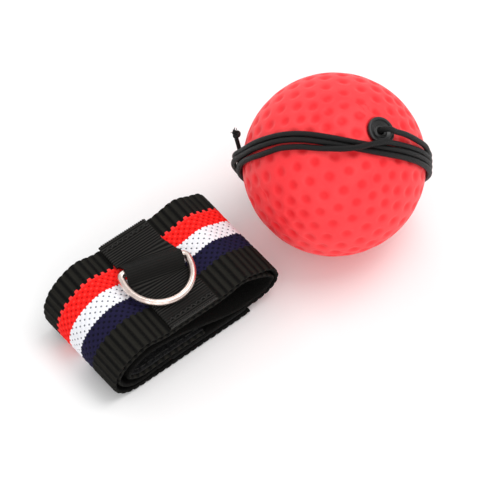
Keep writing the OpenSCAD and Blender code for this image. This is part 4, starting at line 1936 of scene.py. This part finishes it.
    def frayed(self) -> bpy.types.Object:
        """Makes the loose ends of core and sleeve above the knot: curled fibres that spread from its top.

        Returns:
            The fibres.
        """
        low, high = node_box("frayed_tip")
        root = self.ball.centre + np.array(self.knot) + self.fibre_root
        rng = np.random.default_rng(self.fray_seed)
        count = self.fibres
        lean = rng.uniform(0.1, 1.15, count)
        turn = rng.uniform(0, TAU, count)
        reach = rng.uniform(1.0, 1.75, count)[:, None, None]
        x = np.sin(lean) * np.cos(turn) - 0.35
        y = np.sin(lean) * np.sin(turn) + 0.1
        way = unit(np.stack([x, y, np.cos(lean)], axis=1))
        curl = rng.normal(0, 0.35, (count, 1, 3))
        t = np.linspace(0, 1, 8)[None, :, None]
        start = root + rng.normal(0, 0.3, (count, 1, 3))
        paths = start + reach * t * way[:, None] + curl * t * t
        paths = np.clip(paths, low - self.fibre_room, high + self.fibre_room)
        radius = 0.11 * np.array([1.3, 1.2, 1.1, 1, 1, 0.9, 0.7, 0.35])
        return dressed(many_tubes(paths, radius, 6).build("frayed_cord_end"), TwistedThread().make())

    def build(self) -> None:
        """Makes the cord with its knots and its frayed end."""
        sleeve, path = self.sleeve()
        place(sleeve, Body.BALL, Slot.CORD, "cord_lead", "cord_winding", "cord_tail")
        middle = self.ball.centre + np.array(self.knot)
        size = np.ptp(node_points("end_knot")[:, 0]) * self.knot_swell
        knot = self.tied("end_overhand_knot", middle, self.knot_tilt, self.knot_turn, size)
        place(knot, Body.BALL, Slot.CORD, "end_knot")
        tip = place(self.frayed(), Body.BALL, Slot.CORD, "frayed_tip")
        low, high = node_box("anchor_knot")
        lie = self.ball.plug_tilt, self.ball.plug_turn
        inner = self.tied("anchor_overhand_knot", (low + high) / 2, *lie, self.anchor_size)
        place(inner, Body.BALL, Slot.CORD, "anchor_knot")
        exit_point = self.ball.centre + self.ball.axis * (self.ball.radius + self.ball.flange_top)
        tuple(exit_point * MM)
        (path * MM).tolist()


# ---------------------------------------------------------------- studio

@dataclass(frozen=True)
class Softbox:
    """A square light: its place in millimetres, its side in metres and its power in watts."""

    name: str
    stand: tuple[float, float, float]
    side: float
    power: float


@dataclass
class Studio:
    """The camera, the lights and the floor."""

    azimuth: float = -40.04
    elevation: float = 51.87
    distance: float = 842.1
    target: tuple[float, float, float] = (41.64, 1.73, 0.0)
    lens: float = 168.2
    film: float = 36.0
    sky: float = 0.72
    floor_side: float = 6000.0
    floor_drop: float = 0.12
    lights: tuple[Softbox, ...] = (
        Softbox("key", (350, -150, 900), 0.6, 3.6),
        Softbox("fill", (-500, -700, 500), 0.9, 2.6),
        Softbox("rim", (300, 800, 500), 0.6, 1.2),
    )

    def camera(self) -> None:
        """Puts the camera at a distance from its target, back along its line of sight."""
        a, e = math.radians(self.azimuth), math.radians(self.elevation)
        back = Vector((math.sin(a) * math.cos(e), -math.cos(a) * math.cos(e), math.sin(e)))
        data = bpy.data.cameras.new("camera")
        data.lens = self.lens
        data.sensor_width = self.film
        camera = bpy.data.objects.new("camera", data)
        camera.location = (Vector(self.target) + back * self.distance) * MM
        camera.rotation_euler = back.to_track_quat("Z", "Y").to_euler()
        bpy.context.scene.collection.objects.link(camera)
        bpy.context.scene.camera = camera

    def light(self, box: Softbox) -> None:
        """Adds a square softbox that faces the object.

        Args:
            box: The softbox.
        """
        data = bpy.data.lights.new(box.name, "AREA")
        data.size = box.side
        data.energy = box.power
        light = bpy.data.objects.new(box.name, data)
        light.location = Vector(box.stand) * MM
        way = Vector(box.stand) - Vector(self.target)
        light.rotation_euler = way.to_track_quat("Z", "Y").to_euler()
        bpy.context.scene.collection.objects.link(light)

    def floor(self) -> None:
        """Lays a pale floor just under the object."""
        side = self.floor_side / 2
        corners = np.array([(-side, -side), (side, -side), (side, side), (-side, side)])
        points = np.hstack([corners, np.full((4, 1), -self.floor_drop)])
        floor = Soup(points, np.array([[0, 1, 2, 3]])).build("studio_floor")
        work = NodeWork("pale_floor", Roughness=0.9, Specular_IOR_Level=0.1)
        paper = work.noise(work.spot(), 40.0, 2.0)
        base = work.mix(paper, colour(250, 250, 250), colour(253, 253, 253))
        dressed(floor, work.finish(base))

    def build(self) -> None:
        """Sets up the whole studio."""
        self.camera()
        for box in self.lights:
            self.light(box)
        self.floor()
        world = bpy.data.worlds.new("studio")
        world.use_nodes = True
        background = world.node_tree.nodes["Background"]
        background.inputs[0].default_value = (1.0, 1.0, 1.0, 1.0)
        background.inputs[1].default_value = self.sky
        bpy.context.scene.world = world
        bpy.context.scene.view_settings.view_transform = "Standard"


def main() -> None:
    """Builds the studio, then the cord with its ball, then the headband."""
    logging.basicConfig(level=logging.INFO, format="%(name)s: %(message)s")
    Studio().build()
    ball = Ball()
    ElasticCord(ball).build()
    ball.build()
    strap = RolledStrap()
    strap.build()
    ClosurePatches(strap).build()
    RingHolder(strap).build()


if __name__ == "__main__":
    main()
